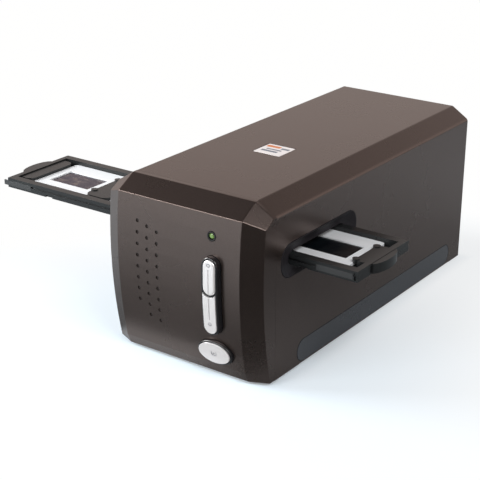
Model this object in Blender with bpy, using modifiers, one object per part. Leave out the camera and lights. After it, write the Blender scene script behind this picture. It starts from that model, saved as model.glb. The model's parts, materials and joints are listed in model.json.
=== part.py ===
"""A desktop film scanner, modelled as the separate pieces it is assembled from.

Metres, +Z up, +X to the right and +Y away from the front. The origin lies on the table under the
middle of the casing. Run it with blender --background --python part.py, or from the text editor.
"""

import math

import bmesh
import bpy
from mathutils import Matrix, Vector

# Casing
BODY_WIDTH = 0.120
BODY_LENGTH = 0.272
BODY_HEIGHT = 0.119
FOOT_STAND = 0.002
WALL = 0.0022
TOP_CHAMFER_WIDTH = 0.0129
TOP_CHAMFER_DROP = 0.0083
SHOULDER_FILLET = 0.003
BEZEL_DEPTH = 0.0205
SEAM_GAP = 0.0004
STICKER_WIDTH = 0.0212
STICKER_LENGTH = 0.0200
STICKER_RECESS = 0.0003
STICKER_FROM_FRONT = 0.1058

# Bulged front face
FACE_EDGE_INSET = 0.0126
FACE_SIDE_DEPTH = 0.0072
FACE_TOP_DEPTH = 0.0165
BULGE_RADIUS_SHARE = 2.588
BULGE_HEIGHT_SHARE = 0.611
SKIRT_BAND_HEIGHT = 0.007
SKIRT_BAND_INSET = 0.0015
CORNER_FACET_LENGTH = 0.0174
FACE_RINGS = 9

# Clearances
SEAT_GAP = 0.0003
SLIDE_CLEARANCE = 0.0005
RUN_CLEARANCE = 0.0015
OVERRUN = 0.002
OVERLAP = 0.0005

# Film slots and their scoops
SLOT_LENGTH = 0.0885
SLOT_HEIGHT = 0.0233
SLOT_CORNER_RADIUS = 0.0105
SLOT_FROM_FRONT = 0.0697
SLOT_HEIGHT_SHARE = 0.6588
SCOOP_DEPTH = 0.0102
SCOOP_WALL = 0.0012
SCOOP_SLOPE_SHARE = 0.45
PASSAGE_MARGIN = 0.0016

# Film holder, with four slides in a row
HOLDER_WIDTH = 0.0625
HOLDER_THICKNESS = 0.007
HOLDER_DROP = 0.0009
FRAME_PITCH = 0.0705
FRAME_COUNT = 4
FRAME_IN_GATE = 2
GATE_OFFSET = -0.0027
SLIDE_SIZE = 0.050
SLIDE_THICKNESS = 0.002
SLIDE_CORNER_RADIUS = 0.002
SLIDE_WINDOW_WIDTH = 0.036
SLIDE_WINDOW_DEPTH = 0.023
FILM_THICKNESS = 0.0004
HOLDER_FLOOR = 0.002
LEDGE_WIDTH = 0.003
LEFT_END_WIDTH = 0.0143
RIGHT_END_WIDTH = 0.0127
END_BAR_WIDTH = 0.004
TONGUE_WIDTH = 0.030
LEFT_TONGUE_REACH = 0.006
RIGHT_TONGUE_REACH = 0.0048
DIVIDER_RADIUS = 0.005
DIVIDER_SLOT = 0.003
DIVIDER_DROP = 0.0008
CLIP_RADIUS = 0.0025
CLIP_SPACING = 0.025
RAIL_GROOVE_DEPTH = 0.0008
RAIL_GROOVE_HEIGHT = 0.0014
NOTCH_LENGTH = 0.006
NOTCH_DEPTH = 0.0014

# Scan keys in their raised surround, and the power key in its ring
KEY_SIDE_SHARE = 0.46
KEY_WIDTH = 0.0092
KEYS_TOP_SHARE = 0.7025
KEYS_BOTTOM_SHARE = 0.2882
KEYS_SPLIT_SHARE = 0.5076
KEY_GAP = 0.0013
KEY_CLEARANCE = 0.0003
KEY_PROUD = 0.0007
KEY_TRAVEL = 0.0008
KEY_STEM_RADIUS = 0.002
SURROUND_RIM = 0.0012
SURROUND_PROUD = 0.0040
SURROUND_FLANGE = 0.0014
SURROUND_FLOOR = 0.0018
POWER_SIDE_SHARE = 0.45
POWER_HEIGHT_SHARE = 0.1597
POWER_KEY_WIDTH = 0.0236
POWER_KEY_TALL = 0.0142
POWER_RIM = 0.0010
POWER_PROUD = 0.0026
LAMP_SIDE_SHARE = 0.4367
LAMP_HEIGHT_SHARE = 0.8168
LAMP_RADIUS = 0.0020
LAMP_GROMMET_WALL = 0.0008
LAMP_GROMMET_LENGTH = 0.0035

# Vent holes in the bezel, in three staggered columns
VENT_RADIUS = 0.0013
VENT_PITCH_SHARE = 0.0643
VENT_COLUMN_PITCH_SHARE = 0.1283
VENT_FIRST_SIDE_SHARE = -0.5217
VENT_TOP_SHARE = 0.7941
VENT_STAGGER_SHARE = 0.0185
VENT_COLUMN_COUNTS = (8, 9, 9)

# Switch board behind the bezel
SWITCH_SIZE = 0.006
SWITCH_DEPTH = 0.0034
PLUNGER_LENGTH = 0.0010
PLUNGER_RADIUS = 0.0015
BOARD_THICKNESS = 0.0016
BOARD_MARGIN = 0.004
BOARD_POST_RADIUS = 0.0025
BOARD_POST_INSET = 0.0032

# Base tray
TRAY_FLOOR = 0.003
TRAY_WALL = 0.002
TRAY_WALL_HEIGHT = 0.018
PAD_FRONT_FROM_FRONT = 0.0480
PAD_LENGTH = 0.2075
PAD_HEIGHT = 0.0135
PAD_CORNER_RADIUS = 0.0110
PAD_SHY = 0.0008
LABEL_PANEL_WIDTH = 0.050
LABEL_PANEL_LENGTH = 0.034
LABEL_PANEL_RISE = 0.0004
FOOT_RADIUS = 0.007
FOOT_SIDE_INSET = 0.013
FOOT_FRONT_INSET = 0.040
FOOT_REAR_INSET = 0.022

# Rear panel and its sockets
REAR_PANEL_THICKNESS = 0.0025
REAR_RECESS = 0.001
REAR_VENT_COUNT = 6
REAR_VENT_WIDTH = 0.060
REAR_VENT_HEIGHT = 0.0025
REAR_VENT_PITCH = 0.006
REAR_VENT_OVER_SHOULDER = 0.010
USB_SIDE_SHARE = 0.3333
USB_WIDTH = 0.012
USB_HEIGHT = 0.0108
USB_DEPTH = 0.016
USB_SHELL = 0.0008
USB_TONGUE_SHARE = 0.45
JACK_SIDE_SHARE = -0.30
JACK_WIDTH = 0.009
JACK_HEIGHT = 0.0108
JACK_DEPTH = 0.014
JACK_BORE_RADIUS = 0.0033
JACK_PIN_RADIUS = 0.0010
SOCKET_MOUTH_SHARE = 0.40

# Main board, chassis deck and its posts
BOARD_STANDOFF = 0.003
STANDOFF_RADIUS = 0.0025
MAIN_BOARD_LENGTH_SHARE = 0.42
CHIP_HEIGHT = 0.0020
DECK_HEADROOM = 0.0012
DECK_THICKNESS = 0.0025
POST_SIZE = 0.008
SCREW_HEAD_RADIUS = 0.0031
SCREW_HEAD_HEIGHT = 0.0014
SCREW_SHANK_RADIUS = 0.0014
SCREW_LENGTH = 0.011

# Film gate
GATE_FLOOR = 0.0025
GATE_WALL = 0.002
GATE_LID = 0.0025
GATE_HEADROOM = 0.0030
GATE_WINDOW_MARGIN = 0.002
SPRING_THICKNESS = 0.0005
SPRING_LENGTH = 0.030
SPRING_NOSE = 0.003

# Lamp over the film gate
LAMP_BOX_WIDTH = 0.060
LAMP_BOX_LENGTH = 0.044
LAMP_BOX_HEIGHT = 0.021
LAMP_BOX_WALL = 0.0018
DIFFUSER_THICKNESS = 0.0020
LED_SIZE = 0.004
LED_HEIGHT = 0.0012
LED_PITCH = 0.008
LED_COUNT = 5

# Guide rods, carriage and drive
ROD_RADIUS = 0.003
LUG_WALL = 0.0027
LUG_LENGTH = 0.014
ROD_BLOCK_DEPTH = 0.008
ROD_BLOCK_TOP = 0.004
CARRIAGE_PLATE = 0.0032
CARRIAGE_TRAVEL = 0.013
SCREW_LEAD = 0.008
LEAD_SCREW_RADIUS = 0.003
COUPLING_WALL = 0.0010
COUPLING_LENGTH = 0.010
MOTOR_SHAFT_RADIUS = 0.0010
MOTOR_SIZE = 0.020
MOTOR_LENGTH = 0.022
MOTOR_BOSS_RADIUS = 0.005
MOTOR_BOSS_LENGTH = 0.0015
MIRROR_THICKNESS = 0.002
MIRROR_WIDTH = 0.042
LENS_RADIUS_SHARE = 0.40
LENS_LENGTH = 0.036
LENS_WALL = 0.0025
LENS_PLACE_SHARE = 0.55
GLASS_THICKNESS = 0.003
SENSOR_BOARD_WIDTH = 0.040
SENSOR_SIZE = 0.030
HOME_SENSOR_SIZE = 0.010
RIBBON_WIDTH = 0.010
RIBBON_THICKNESS = 0.0006

# Facets
ROUND_STEPS = 20
SMALL_ROUND_STEPS = 12
VENT_STEPS = 8
CORNER_STEPS = 5

# Places worked out from the sizes above
HALF_WIDTH = BODY_WIDTH / 2
FRONT_Y = -BODY_LENGTH / 2
REAR_Y = BODY_LENGTH / 2
BASE_Z = FOOT_STAND
TOP_Z = BODY_HEIGHT
SHOULDER_Z = TOP_Z - TOP_CHAMFER_DROP
TOP_HALF_WIDTH = HALF_WIDTH - TOP_CHAMFER_WIDTH
FACE_HALF_WIDTH = HALF_WIDTH - FACE_EDGE_INSET
SEAM_Y = FRONT_Y + BEZEL_DEPTH
COVER_FRONT_Y = SEAM_Y + SEAM_GAP
BAND_TOP_Z = BASE_Z + SKIRT_BAND_HEIGHT
INNER_HALF_WIDTH = HALF_WIDTH - WALL - SEAT_GAP
FLOOR_TOP_Z = BASE_Z + TRAY_FLOOR
PANEL_REAR_Y = REAR_Y - REAR_RECESS
PANEL_FRONT_Y = PANEL_REAR_Y - REAR_PANEL_THICKNESS
TRAY_REAR_Y = PANEL_FRONT_Y - SEAT_GAP

FILM_Y = FRONT_Y + SLOT_FROM_FRONT
SLOT_Z = TOP_Z * SLOT_HEIGHT_SHARE
HOLDER_TOP_Z = SLOT_Z - HOLDER_DROP + HOLDER_THICKNESS / 2
HOLDER_BOTTOM_Z = HOLDER_TOP_Z - HOLDER_THICKNESS
SLIDE_BOTTOM_Z = HOLDER_BOTTOM_Z + HOLDER_FLOOR + SEAT_GAP
SLIDE_TOP_Z = SLIDE_BOTTOM_Z + SLIDE_THICKNESS
POCKET_WIDTH = SLIDE_SIZE + 2 * SEAT_GAP
FIRST_FRAME_X = GATE_OFFSET - FRAME_IN_GATE * FRAME_PITCH
LAST_FRAME_X = FIRST_FRAME_X + (FRAME_COUNT - 1) * FRAME_PITCH
HOLDER_LEFT_X = FIRST_FRAME_X - POCKET_WIDTH / 2 - LEFT_END_WIDTH
HOLDER_RIGHT_X = LAST_FRAME_X + POCKET_WIDTH / 2 + RIGHT_END_WIDTH
SCOOP_OUTER_X = HALF_WIDTH - SEAT_GAP
SCOOP_INNER_X = SCOOP_OUTER_X - SCOOP_DEPTH
GATE_HALF_LENGTH = SCOOP_INNER_X - SEAT_GAP
CHANNEL_HALF_WIDTH = HOLDER_WIDTH / 2 + SLIDE_CLEARANCE
GATE_FLOOR_TOP_Z = HOLDER_BOTTOM_Z - SEAT_GAP
GATE_BOTTOM_Z = GATE_FLOOR_TOP_Z - GATE_FLOOR
GATE_WALL_TOP_Z = HOLDER_TOP_Z + GATE_HEADROOM
GATE_LID_Z = GATE_WALL_TOP_Z + SEAT_GAP
LAMP_Z = GATE_LID_Z + GATE_LID + SEAT_GAP

BOARD_Z = FLOOR_TOP_Z + BOARD_STANDOFF + SEAT_GAP
BOARD_TOP_Z = BOARD_Z + BOARD_THICKNESS
SOCKET_Z = BOARD_TOP_Z + SEAT_GAP
DECK_Z = SOCKET_Z + max(USB_HEIGHT, JACK_HEIGHT) + DECK_HEADROOM
DECK_TOP_Z = DECK_Z + DECK_THICKNESS
POST_X = GATE_HALF_LENGTH - POST_SIZE / 2
LUG_RADIUS = ROD_RADIUS + SEAT_GAP + LUG_WALL
ROD_X = POST_X - POST_SIZE / 2 - RUN_CLEARANCE - LUG_RADIUS
AXIS_Z = DECK_TOP_Z + SEAT_GAP + MOTOR_SIZE / 2
PLATE_Z = AXIS_Z + LUG_RADIUS
PLATE_TOP_Z = PLATE_Z + CARRIAGE_PLATE
OPTIC_HEIGHT = GATE_BOTTOM_Z - RUN_CLEARANCE - PLATE_TOP_Z
OPTIC_Z = PLATE_TOP_Z + OPTIC_HEIGHT / 2
LENS_RADIUS = OPTIC_HEIGHT * LENS_RADIUS_SHARE
DECK_FRONT_Y = SEAM_Y + RUN_CLEARANCE
DECK_REAR_Y = TRAY_REAR_Y - RUN_CLEARANCE
FRONT_BLOCK_Y = DECK_FRONT_Y + OVERLAP
REAR_BLOCK_Y = DECK_REAR_Y - OVERLAP - ROD_BLOCK_DEPTH
MOTOR_REAR_Y = REAR_BLOCK_Y - SEAT_GAP
MOTOR_FRONT_Y = MOTOR_REAR_Y - MOTOR_LENGTH
COUPLING_REAR_Y = MOTOR_FRONT_Y - MOTOR_BOSS_LENGTH - SEAT_GAP
COUPLING_FRONT_Y = COUPLING_REAR_Y - COUPLING_LENGTH
CARRIAGE_FRONT_Y = FRONT_BLOCK_Y + ROD_BLOCK_DEPTH + CARRIAGE_TRAVEL + RUN_CLEARANCE
CARRIAGE_REAR_Y = MOTOR_FRONT_Y - CARRIAGE_TRAVEL - RUN_CLEARANCE - MOTOR_BOSS_LENGTH
CARRIAGE_LENGTH = CARRIAGE_REAR_Y - CARRIAGE_FRONT_Y

KEY_X = HALF_WIDTH * KEY_SIDE_SHARE
KEYS_TOP = TOP_Z * KEYS_TOP_SHARE
KEYS_BOTTOM = TOP_Z * KEYS_BOTTOM_SHARE
KEYS_SPLIT = TOP_Z * KEYS_SPLIT_SHARE
POWER_X = HALF_WIDTH * POWER_SIDE_SHARE
POWER_HEIGHT = TOP_Z * POWER_HEIGHT_SHARE
LAMP_X = HALF_WIDTH * LAMP_SIDE_SHARE
LAMP_HEIGHT = TOP_Z * LAMP_HEIGHT_SHARE
VENT_FIRST_X = HALF_WIDTH * VENT_FIRST_SIDE_SHARE
VENT_COLUMN_PITCH = HALF_WIDTH * VENT_COLUMN_PITCH_SHARE
VENT_TOP_HEIGHT = TOP_Z * VENT_TOP_SHARE
VENT_PITCH = TOP_Z * VENT_PITCH_SHARE
VENT_STAGGER = TOP_Z * VENT_STAGGER_SHARE
USB_X = HALF_WIDTH * USB_SIDE_SHARE
JACK_X = HALF_WIDTH * JACK_SIDE_SHARE
BULGE_HEIGHT = TOP_Z * BULGE_HEIGHT_SHARE
BULGE_RADIUS = TOP_Z * BULGE_RADIUS_SHARE
KEY_RADIUS = KEY_WIDTH / 2
SURROUND_HALF_WIDTH = KEY_RADIUS + KEY_CLEARANCE + SURROUND_RIM
SURROUND_BOTTOM_Z = KEYS_BOTTOM - KEY_CLEARANCE - SURROUND_RIM
SURROUND_TOP_Z = KEYS_TOP + KEY_CLEARANCE + SURROUND_RIM
POWER_HALF_TALL = POWER_KEY_TALL / 2 + KEY_CLEARANCE + POWER_RIM


def face_y(height):
    """Depth of the bulged front face at a height: an arc about a level axis far behind it."""
    rise = height - BULGE_HEIGHT
    return FRONT_Y + BULGE_RADIUS - math.sqrt(BULGE_RADIUS**2 - rise**2)


FLANGE_FRONT_Y = face_y(BAND_TOP_Z) + WALL + 3 * SEAT_GAP
FLANGE_BACK_Y = FLANGE_FRONT_Y + SURROUND_FLOOR
KEY_BACK_Y = FLANGE_FRONT_Y - KEY_TRAVEL - SEAT_GAP
STEM_END_Y = FLANGE_BACK_Y + SEAT_GAP
PLUNGER_TIP_Y = STEM_END_Y + KEY_TRAVEL + KEY_CLEARANCE / 2
SWITCH_FRONT_Y = PLUNGER_TIP_Y + PLUNGER_LENGTH
SWITCH_BACK_Y = SWITCH_FRONT_Y + SWITCH_DEPTH
SWITCH_BOARD_Y = SWITCH_BACK_Y + SEAT_GAP

X_TURN = Matrix(((0, 0, 1), (1, 0, 0), (0, 1, 0))).to_4x4()
Y_TURN = Matrix(((1, 0, 0), (0, 0, -1), (0, 1, 0))).to_4x4()
Z_TURN = Matrix.Identity(4)
TURNS = {"X": X_TURN, "Y": Y_TURN, "Z": Z_TURN}


def clear_scene():
    for item in list(bpy.data.objects):
        bpy.data.objects.remove(item)


def collection(name):
    made = bpy.data.collections.new(name)
    bpy.context.scene.collection.children.link(made)
    return made


def material(name, colour, roughness, metallic):
    made = bpy.data.materials.new(name)
    made.use_nodes = True
    shader = made.node_tree.nodes["Principled BSDF"]
    shader.inputs["Base Color"].default_value = (*colour, 1.0)
    shader.inputs["Roughness"].default_value = roughness
    shader.inputs["Metallic"].default_value = metallic
    made.diffuse_color = (*colour, 1.0)
    return made


clear_scene()
PIECES = collection("film_scanner")
TOOLS = collection("cutters")

# Finishes: base colour, roughness and metallic value
BROWN = ((0.130, 0.108, 0.098), 0.42, 0.15)
SLATE = ((0.035, 0.040, 0.046), 0.5, 0.0)
BLACK = ((0.012, 0.012, 0.013), 0.45, 0.0)
HOLDER_GREY = ((0.035, 0.036, 0.035), 0.5, 0.0)
SILVER = ((0.62, 0.63, 0.65), 0.3, 0.6)
WHITE = ((0.80, 0.82, 0.86), 0.6, 0.0)
FILM = ((0.13, 0.11, 0.12), 0.2, 0.0)
GREEN = ((0.25, 0.60, 0.12), 0.3, 0.0)
RUBBER = ((0.02, 0.02, 0.02), 0.8, 0.0)
STEEL = ((0.55, 0.56, 0.58), 0.3, 1.0)
BOARD_GREEN = ((0.02, 0.14, 0.06), 0.5, 0.0)
GLASS = ((0.70, 0.80, 0.85), 0.05, 0.0)
DIFFUSER_WHITE = ((0.85, 0.85, 0.83), 0.5, 0.0)
ALLOY = ((0.45, 0.46, 0.47), 0.4, 0.9)


def new_object(name, mesh, place, turn, finish):
    """A piece goes in the scanner's collection; a tool, which has no finish, is hidden from renders."""
    made = bpy.data.objects.new(name, mesh)
    made.matrix_world = Matrix.Translation(place) @ turn
    if finish is None:
        TOOLS.objects.link(made)
        made.hide_render = True
        made.display_type = "WIRE"
    else:
        PIECES.objects.link(made)
        mesh.materials.append(material(name, *finish))
    return made


def box(name, low, high, finish=None):
    low, high = Vector(low), Vector(high)
    shape = bmesh.new()
    bmesh.ops.create_cube(shape, size=1.0)
    bmesh.ops.scale(shape, vec=high - low, verts=shape.verts)
    mesh = bpy.data.meshes.new(name)
    shape.to_mesh(mesh)
    shape.free()
    return new_object(name, mesh, (low + high) / 2, Z_TURN, finish)


def along(axis, first, second, depth):
    """The point with two outline coordinates and a depth, for an extrusion along the axis."""
    if axis == "X":
        return Vector((depth, first, second))
    if axis == "Y":
        return Vector((first, depth, second))
    return Vector((first, second, depth))


def cylinder(name, axis, first, second, low, high, radius, finish=None, steps=SMALL_ROUND_STEPS):
    shape = bmesh.new()
    bmesh.ops.create_cone(
        shape, cap_ends=True, segments=steps, radius1=radius, radius2=radius, depth=high - low
    )
    mesh = bpy.data.meshes.new(name)
    shape.to_mesh(mesh)
    shape.free()
    made = new_object(name, mesh, along(axis, first, second, (low + high) / 2), TURNS[axis], finish)
    if finish is not None:
        smooth(made)
    return made


def prism(name, outline, axis, low, high, finish=None):
    """A flat outline, as a filled 2D curve, extruded along an axis from low to high."""
    curve = bpy.data.curves.new(name, "CURVE")
    curve.dimensions = "2D"
    curve.fill_mode = "BOTH"
    curve.extrude = (high - low) / 2
    spline = curve.splines.new("POLY")
    spline.points.add(len(outline) - 1)
    for point, (first, second) in zip(spline.points, outline):
        point.co = (first, second, 0, 1)
    spline.use_cyclic_u = True
    guide = bpy.data.objects.new(name, curve)
    mesh = bpy.data.meshes.new_from_object(guide)
    bpy.data.objects.remove(guide)
    bpy.data.curves.remove(curve)
    mesh.name = name
    weld(mesh)
    centre = (low + high) / 2
    if axis == "Y":
        return new_object(name, mesh, Vector((0, centre, 0)), Y_TURN, finish)
    return new_object(name, mesh, along(axis, 0, 0, centre), TURNS[axis], finish)


def weld(mesh):
    shape = bmesh.new()
    shape.from_mesh(mesh)
    bmesh.ops.remove_doubles(shape, verts=shape.verts, dist=SEAT_GAP / 100)
    bmesh.ops.recalc_face_normals(shape, faces=shape.faces)
    shape.to_mesh(mesh)
    shape.free()


def smooth(piece):
    piece.data.shade_smooth()
    piece.data.set_sharp_from_angle(angle=math.radians(35))


def tool_group(name, tools):
    """Joins tools that stand apart from each other into one, so that one Boolean handles them all."""
    shape = bmesh.new()
    for tool in tools:
        part = tool.data.copy()
        part.transform(tool.matrix_world)
        shape.from_mesh(part)
        bpy.data.meshes.remove(part)
        bpy.data.objects.remove(tool)
    mesh = bpy.data.meshes.new(name)
    shape.to_mesh(mesh)
    shape.free()
    return new_object(name, mesh, Vector(), Z_TURN, None)


def boolean(piece, tool, operation):
    modifier = piece.modifiers.new(tool.name, "BOOLEAN")
    modifier.operation = operation
    modifier.solver = "EXACT"
    modifier.object = tool


def cut(piece, *tools):
    boolean(piece, tool_group(f"{piece.name}_cut_{len(piece.modifiers)}", tools), "DIFFERENCE")


def join(piece, *tools):
    boolean(piece, tool_group(f"{piece.name}_join_{len(piece.modifiers)}", tools), "UNION")


def keep_inside(piece, tool):
    boolean(piece, tool, "INTERSECT")


def arc(centre, radii, start, end, steps):
    """Points along an elliptical arc, with its angles in degrees."""
    points = []
    for step in range(steps + 1):
        angle = math.radians(start + (end - start) * step / steps)
        points.append((centre[0] + radii[0] * math.cos(angle), centre[1] + radii[1] * math.sin(angle)))
    return points


def rounded(low, high, radius, steps=CORNER_STEPS):
    """A rounded rectangle between two opposite corners."""
    (x0, y0), (x1, y1) = low, high
    radius = min(radius, (x1 - x0) / 2 - OVERLAP / 10, (y1 - y0) / 2 - OVERLAP / 10)
    corners = (
        (x1 - radius, y0 + radius, -90),
        (x1 - radius, y1 - radius, 0),
        (x0 + radius, y1 - radius, 90),
        (x0 + radius, y0 + radius, 180),
    )
    points = []
    for x, y, start in corners:
        points += arc((x, y), (radius, radius), start, start + 90, steps)
    return points


def oval(centre, width, tall, steps=2 * ROUND_STEPS):
    return arc(centre, (width / 2, tall / 2), 0, 360 - 360 / steps, steps - 1)


def capsule(centre_x, half_width, low, high, steps=ROUND_STEPS // 2):
    top = arc((centre_x, high - half_width), (half_width, half_width), 0, 180, steps)
    bottom = arc((centre_x, low + half_width), (half_width, half_width), 180, 360, steps)
    return top + bottom


def filleted(points, radius, steps=3):
    """An open chain whose inner corners are rounded by arcs that touch both of their sides."""
    chain = [points[0]]
    for before, corner, after in zip(points, points[1:], points[2:]):
        corner = Vector(corner)
        back = (Vector(before) - corner).normalized()
        ahead = (Vector(after) - corner).normalized()
        half_angle = back.angle(ahead) / 2
        bisector = (back + ahead).normalized()
        centre = corner + bisector * (radius / math.sin(half_angle))
        first = corner + back * (radius / math.tan(half_angle)) - centre
        last = corner + ahead * (radius / math.tan(half_angle)) - centre
        turn = first.angle_signed(last)
        for step in range(steps + 1):
            spoke = first.copy()
            spoke.rotate(Matrix.Rotation(-turn * step / steps, 2))
            chain.append(tuple(centre + spoke))
    return chain + [points[-1]]


def cover_section(inset=0):
    """The casing's section across its length, from the left lower edge over the top to the right."""
    slant = math.atan2(TOP_CHAMFER_DROP, TOP_CHAMFER_WIDTH)
    shift_x = inset * math.tan((math.pi / 2 - slant) / 2)
    shift_z = inset * math.tan(slant / 2)
    side, shoulder = HALF_WIDTH - inset, SHOULDER_Z - shift_x
    crown, top = TOP_HALF_WIDTH - shift_z, TOP_Z - inset
    right = [(side, BASE_Z), (side, shoulder), (crown, top)]
    return [(-x, z) for x, z in right] + right[::-1]


def top_cover():
    chain = filleted(cover_section(), SHOULDER_FILLET)
    shape = bmesh.new()
    corners = [shape.verts.new((x, COVER_FRONT_Y, z)) for x, z in chain]
    edges = [shape.edges.new(pair) for pair in zip(corners, corners[1:])]
    swept = bmesh.ops.extrude_edge_only(shape, edges=edges)["geom"]
    moved = [item for item in swept if isinstance(item, bmesh.types.BMVert)]
    bmesh.ops.translate(shape, vec=(0, REAR_Y - COVER_FRONT_Y, 0), verts=moved)
    bmesh.ops.recalc_face_normals(shape, faces=shape.faces)
    top = max(shape.faces, key=lambda face: face.calc_center_median().z)
    if top.normal.z < 0:
        bmesh.ops.reverse_faces(shape, faces=shape.faces)
    mesh = bpy.data.meshes.new("top_cover")
    shape.to_mesh(mesh)
    shape.free()
    cover = new_object("top_cover", mesh, Vector(), Z_TURN, BROWN)
    skin = cover.modifiers.new("wall", "SOLIDIFY")
    skin.thickness = WALL
    skin.offset = -1
    skin.use_even_offset = True
    reach = HALF_WIDTH + OVERRUN
    slot = rounded(
        (FILM_Y - SLOT_LENGTH / 2, SLOT_Z - SLOT_HEIGHT / 2),
        (FILM_Y + SLOT_LENGTH / 2, SLOT_Z + SLOT_HEIGHT / 2),
        SLOT_CORNER_RADIUS,
    )
    pad_front = FRONT_Y + PAD_FRONT_FROM_FRONT
    notch = rounded(
        (pad_front, BASE_Z - PAD_HEIGHT),
        (pad_front + PAD_LENGTH, BASE_Z + PAD_HEIGHT),
        PAD_CORNER_RADIUS,
    )
    sticker_y = FRONT_Y + STICKER_FROM_FRONT
    recess = box(
        "sticker_recess",
        (-STICKER_WIDTH / 2 - SEAT_GAP, sticker_y - STICKER_LENGTH / 2 - SEAT_GAP, TOP_Z - STICKER_RECESS),
        (STICKER_WIDTH / 2 + SEAT_GAP, sticker_y + STICKER_LENGTH / 2 + SEAT_GAP, TOP_Z + OVERRUN),
    )
    cut(cover, prism("slots", slot, "X", -reach, reach), prism("notches", notch, "X", -reach, reach), recess)
    return cover


def plan_ring(height, depth, inset=0):
    """The bezel's outline seen from above, at one height, with its bulge at the given depth."""
    half = [(FACE_HALF_WIDTH, depth + inset), (HALF_WIDTH, depth + FACE_SIDE_DEPTH), (HALF_WIDTH, SEAM_Y)]
    return [(-x, y, height) for x, y in half[::-1]] + [(x, y, height) for x, y in half]


def loft(shape, rings):
    rows = [[shape.verts.new(point) for point in ring] for ring in rings]
    for lower, upper in zip(rows, rows[1:]):
        for index, corner in enumerate(lower):
            following = (index + 1) % len(lower)
            shape.faces.new((corner, lower[following], upper[following], upper[index]))
    shape.faces.new(rows[0][::-1])
    shape.faces.new(rows[-1])


def slice_off(shape, point, normal):
    """Cuts away what lies beyond a plane and closes the cut with one face."""
    everything = shape.verts[:] + shape.edges[:] + shape.faces[:]
    result = bmesh.ops.bisect_plane(
        shape,
        geom=everything,
        plane_co=point,
        plane_no=normal,
        dist=SEAT_GAP / 1000,
        clear_outer=True,
    )
    rim = [item for item in result["geom_cut"] if isinstance(item, bmesh.types.BMEdge)]
    bmesh.ops.contextual_create(shape, geom=rim)


def plane_normal(first, second, third):
    return (Vector(second) - Vector(first)).cross(Vector(third) - Vector(first)).normalized()


def front_bezel():
    rings = [plan_ring(BASE_Z, face_y(BASE_Z), SKIRT_BAND_INSET)]
    for ring in range(FACE_RINGS + 1):
        height = BAND_TOP_Z + (SHOULDER_Z - BAND_TOP_Z) * ring / FACE_RINGS
        rings.append(plan_ring(height, face_y(height)))
    rings.append(plan_ring(TOP_Z, face_y(SHOULDER_Z)))
    shape = bmesh.new()
    loft(shape, rings)
    bmesh.ops.recalc_face_normals(shape, faces=shape.faces)
    crown_y = FRONT_Y + FACE_TOP_DEPTH
    brow = (0, face_y(SHOULDER_Z), SHOULDER_Z)
    slice_off(shape, brow, plane_normal(brow, (0, crown_y, TOP_Z), (-HALF_WIDTH, crown_y, TOP_Z)))
    for side in (1, -1):
        crown = (side * TOP_HALF_WIDTH, crown_y, TOP_Z)
        cheek = (side * FACE_HALF_WIDTH, face_y(SHOULDER_Z), SHOULDER_Z)
        ear = (side * HALF_WIDTH, FRONT_Y + CORNER_FACET_LENGTH, SHOULDER_Z)
        slice_off(shape, ear, Vector((side * TOP_CHAMFER_DROP, 0, TOP_CHAMFER_WIDTH)).normalized())
        slice_off(shape, ear, plane_normal(crown, cheek, ear) * side)
    open_faces = [
        face
        for face in shape.faces
        if all(abs(corner.co.y - SEAM_Y) < SEAT_GAP / 10 for corner in face.verts)
        or all(abs(corner.co.z - BASE_Z) < SEAT_GAP / 10 for corner in face.verts)
    ]
    bmesh.ops.delete(shape, geom=open_faces, context="FACES")
    mesh = bpy.data.meshes.new("front_bezel")
    shape.to_mesh(mesh)
    shape.free()
    bezel = new_object("front_bezel", mesh, Vector(), Z_TURN, BROWN)
    skin = bezel.modifiers.new("wall", "SOLIDIFY")
    skin.thickness = WALL
    skin.offset = -1
    skin.use_even_offset = True
    join(bezel, *board_posts())
    low, high = FRONT_Y - OVERRUN, FLANGE_FRONT_Y
    keys = capsule(KEY_X, SURROUND_HALF_WIDTH + SEAT_GAP, SURROUND_BOTTOM_Z - SEAT_GAP, SURROUND_TOP_Z + SEAT_GAP)
    rim = POWER_RIM + KEY_CLEARANCE + SEAT_GAP
    power = oval((POWER_X, POWER_HEIGHT), POWER_KEY_WIDTH + 2 * rim, POWER_KEY_TALL + 2 * rim)
    lamp_radius = LAMP_RADIUS + SEAT_GAP + LAMP_GROMMET_WALL + SEAT_GAP
    openings = [
        prism("keys_opening", keys, "Y", low, high),
        prism("power_opening", power, "Y", low, high),
        cylinder("lamp_opening", "Y", LAMP_X, LAMP_HEIGHT, low, high, lamp_radius, steps=ROUND_STEPS),
    ]
    for x, z in vent_places():
        openings.append(cylinder("vent", "Y", x, z, low, high, VENT_RADIUS, steps=VENT_STEPS))
    cut(bezel, *openings)
    return bezel


def vent_places():
    for column, count in enumerate(VENT_COLUMN_COUNTS):
        for row in range(count):
            yield (
                VENT_FIRST_X + column * VENT_COLUMN_PITCH,
                VENT_TOP_HEIGHT - column * VENT_STAGGER - row * VENT_PITCH,
            )


def switch_board_edges():
    """Left, right, bottom and top of the switch board."""
    left = min(KEY_X - SURROUND_HALF_WIDTH, POWER_X - POWER_KEY_WIDTH / 2) - BOARD_MARGIN
    right = max(KEY_X + SURROUND_HALF_WIDTH, POWER_X + POWER_KEY_WIDTH / 2) + BOARD_MARGIN
    right = min(right, FACE_HALF_WIDTH - WALL)
    bottom = max(POWER_HEIGHT - SWITCH_SIZE, BAND_TOP_Z + WALL)
    return left, right, bottom, LAMP_HEIGHT + BOARD_MARGIN


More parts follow.
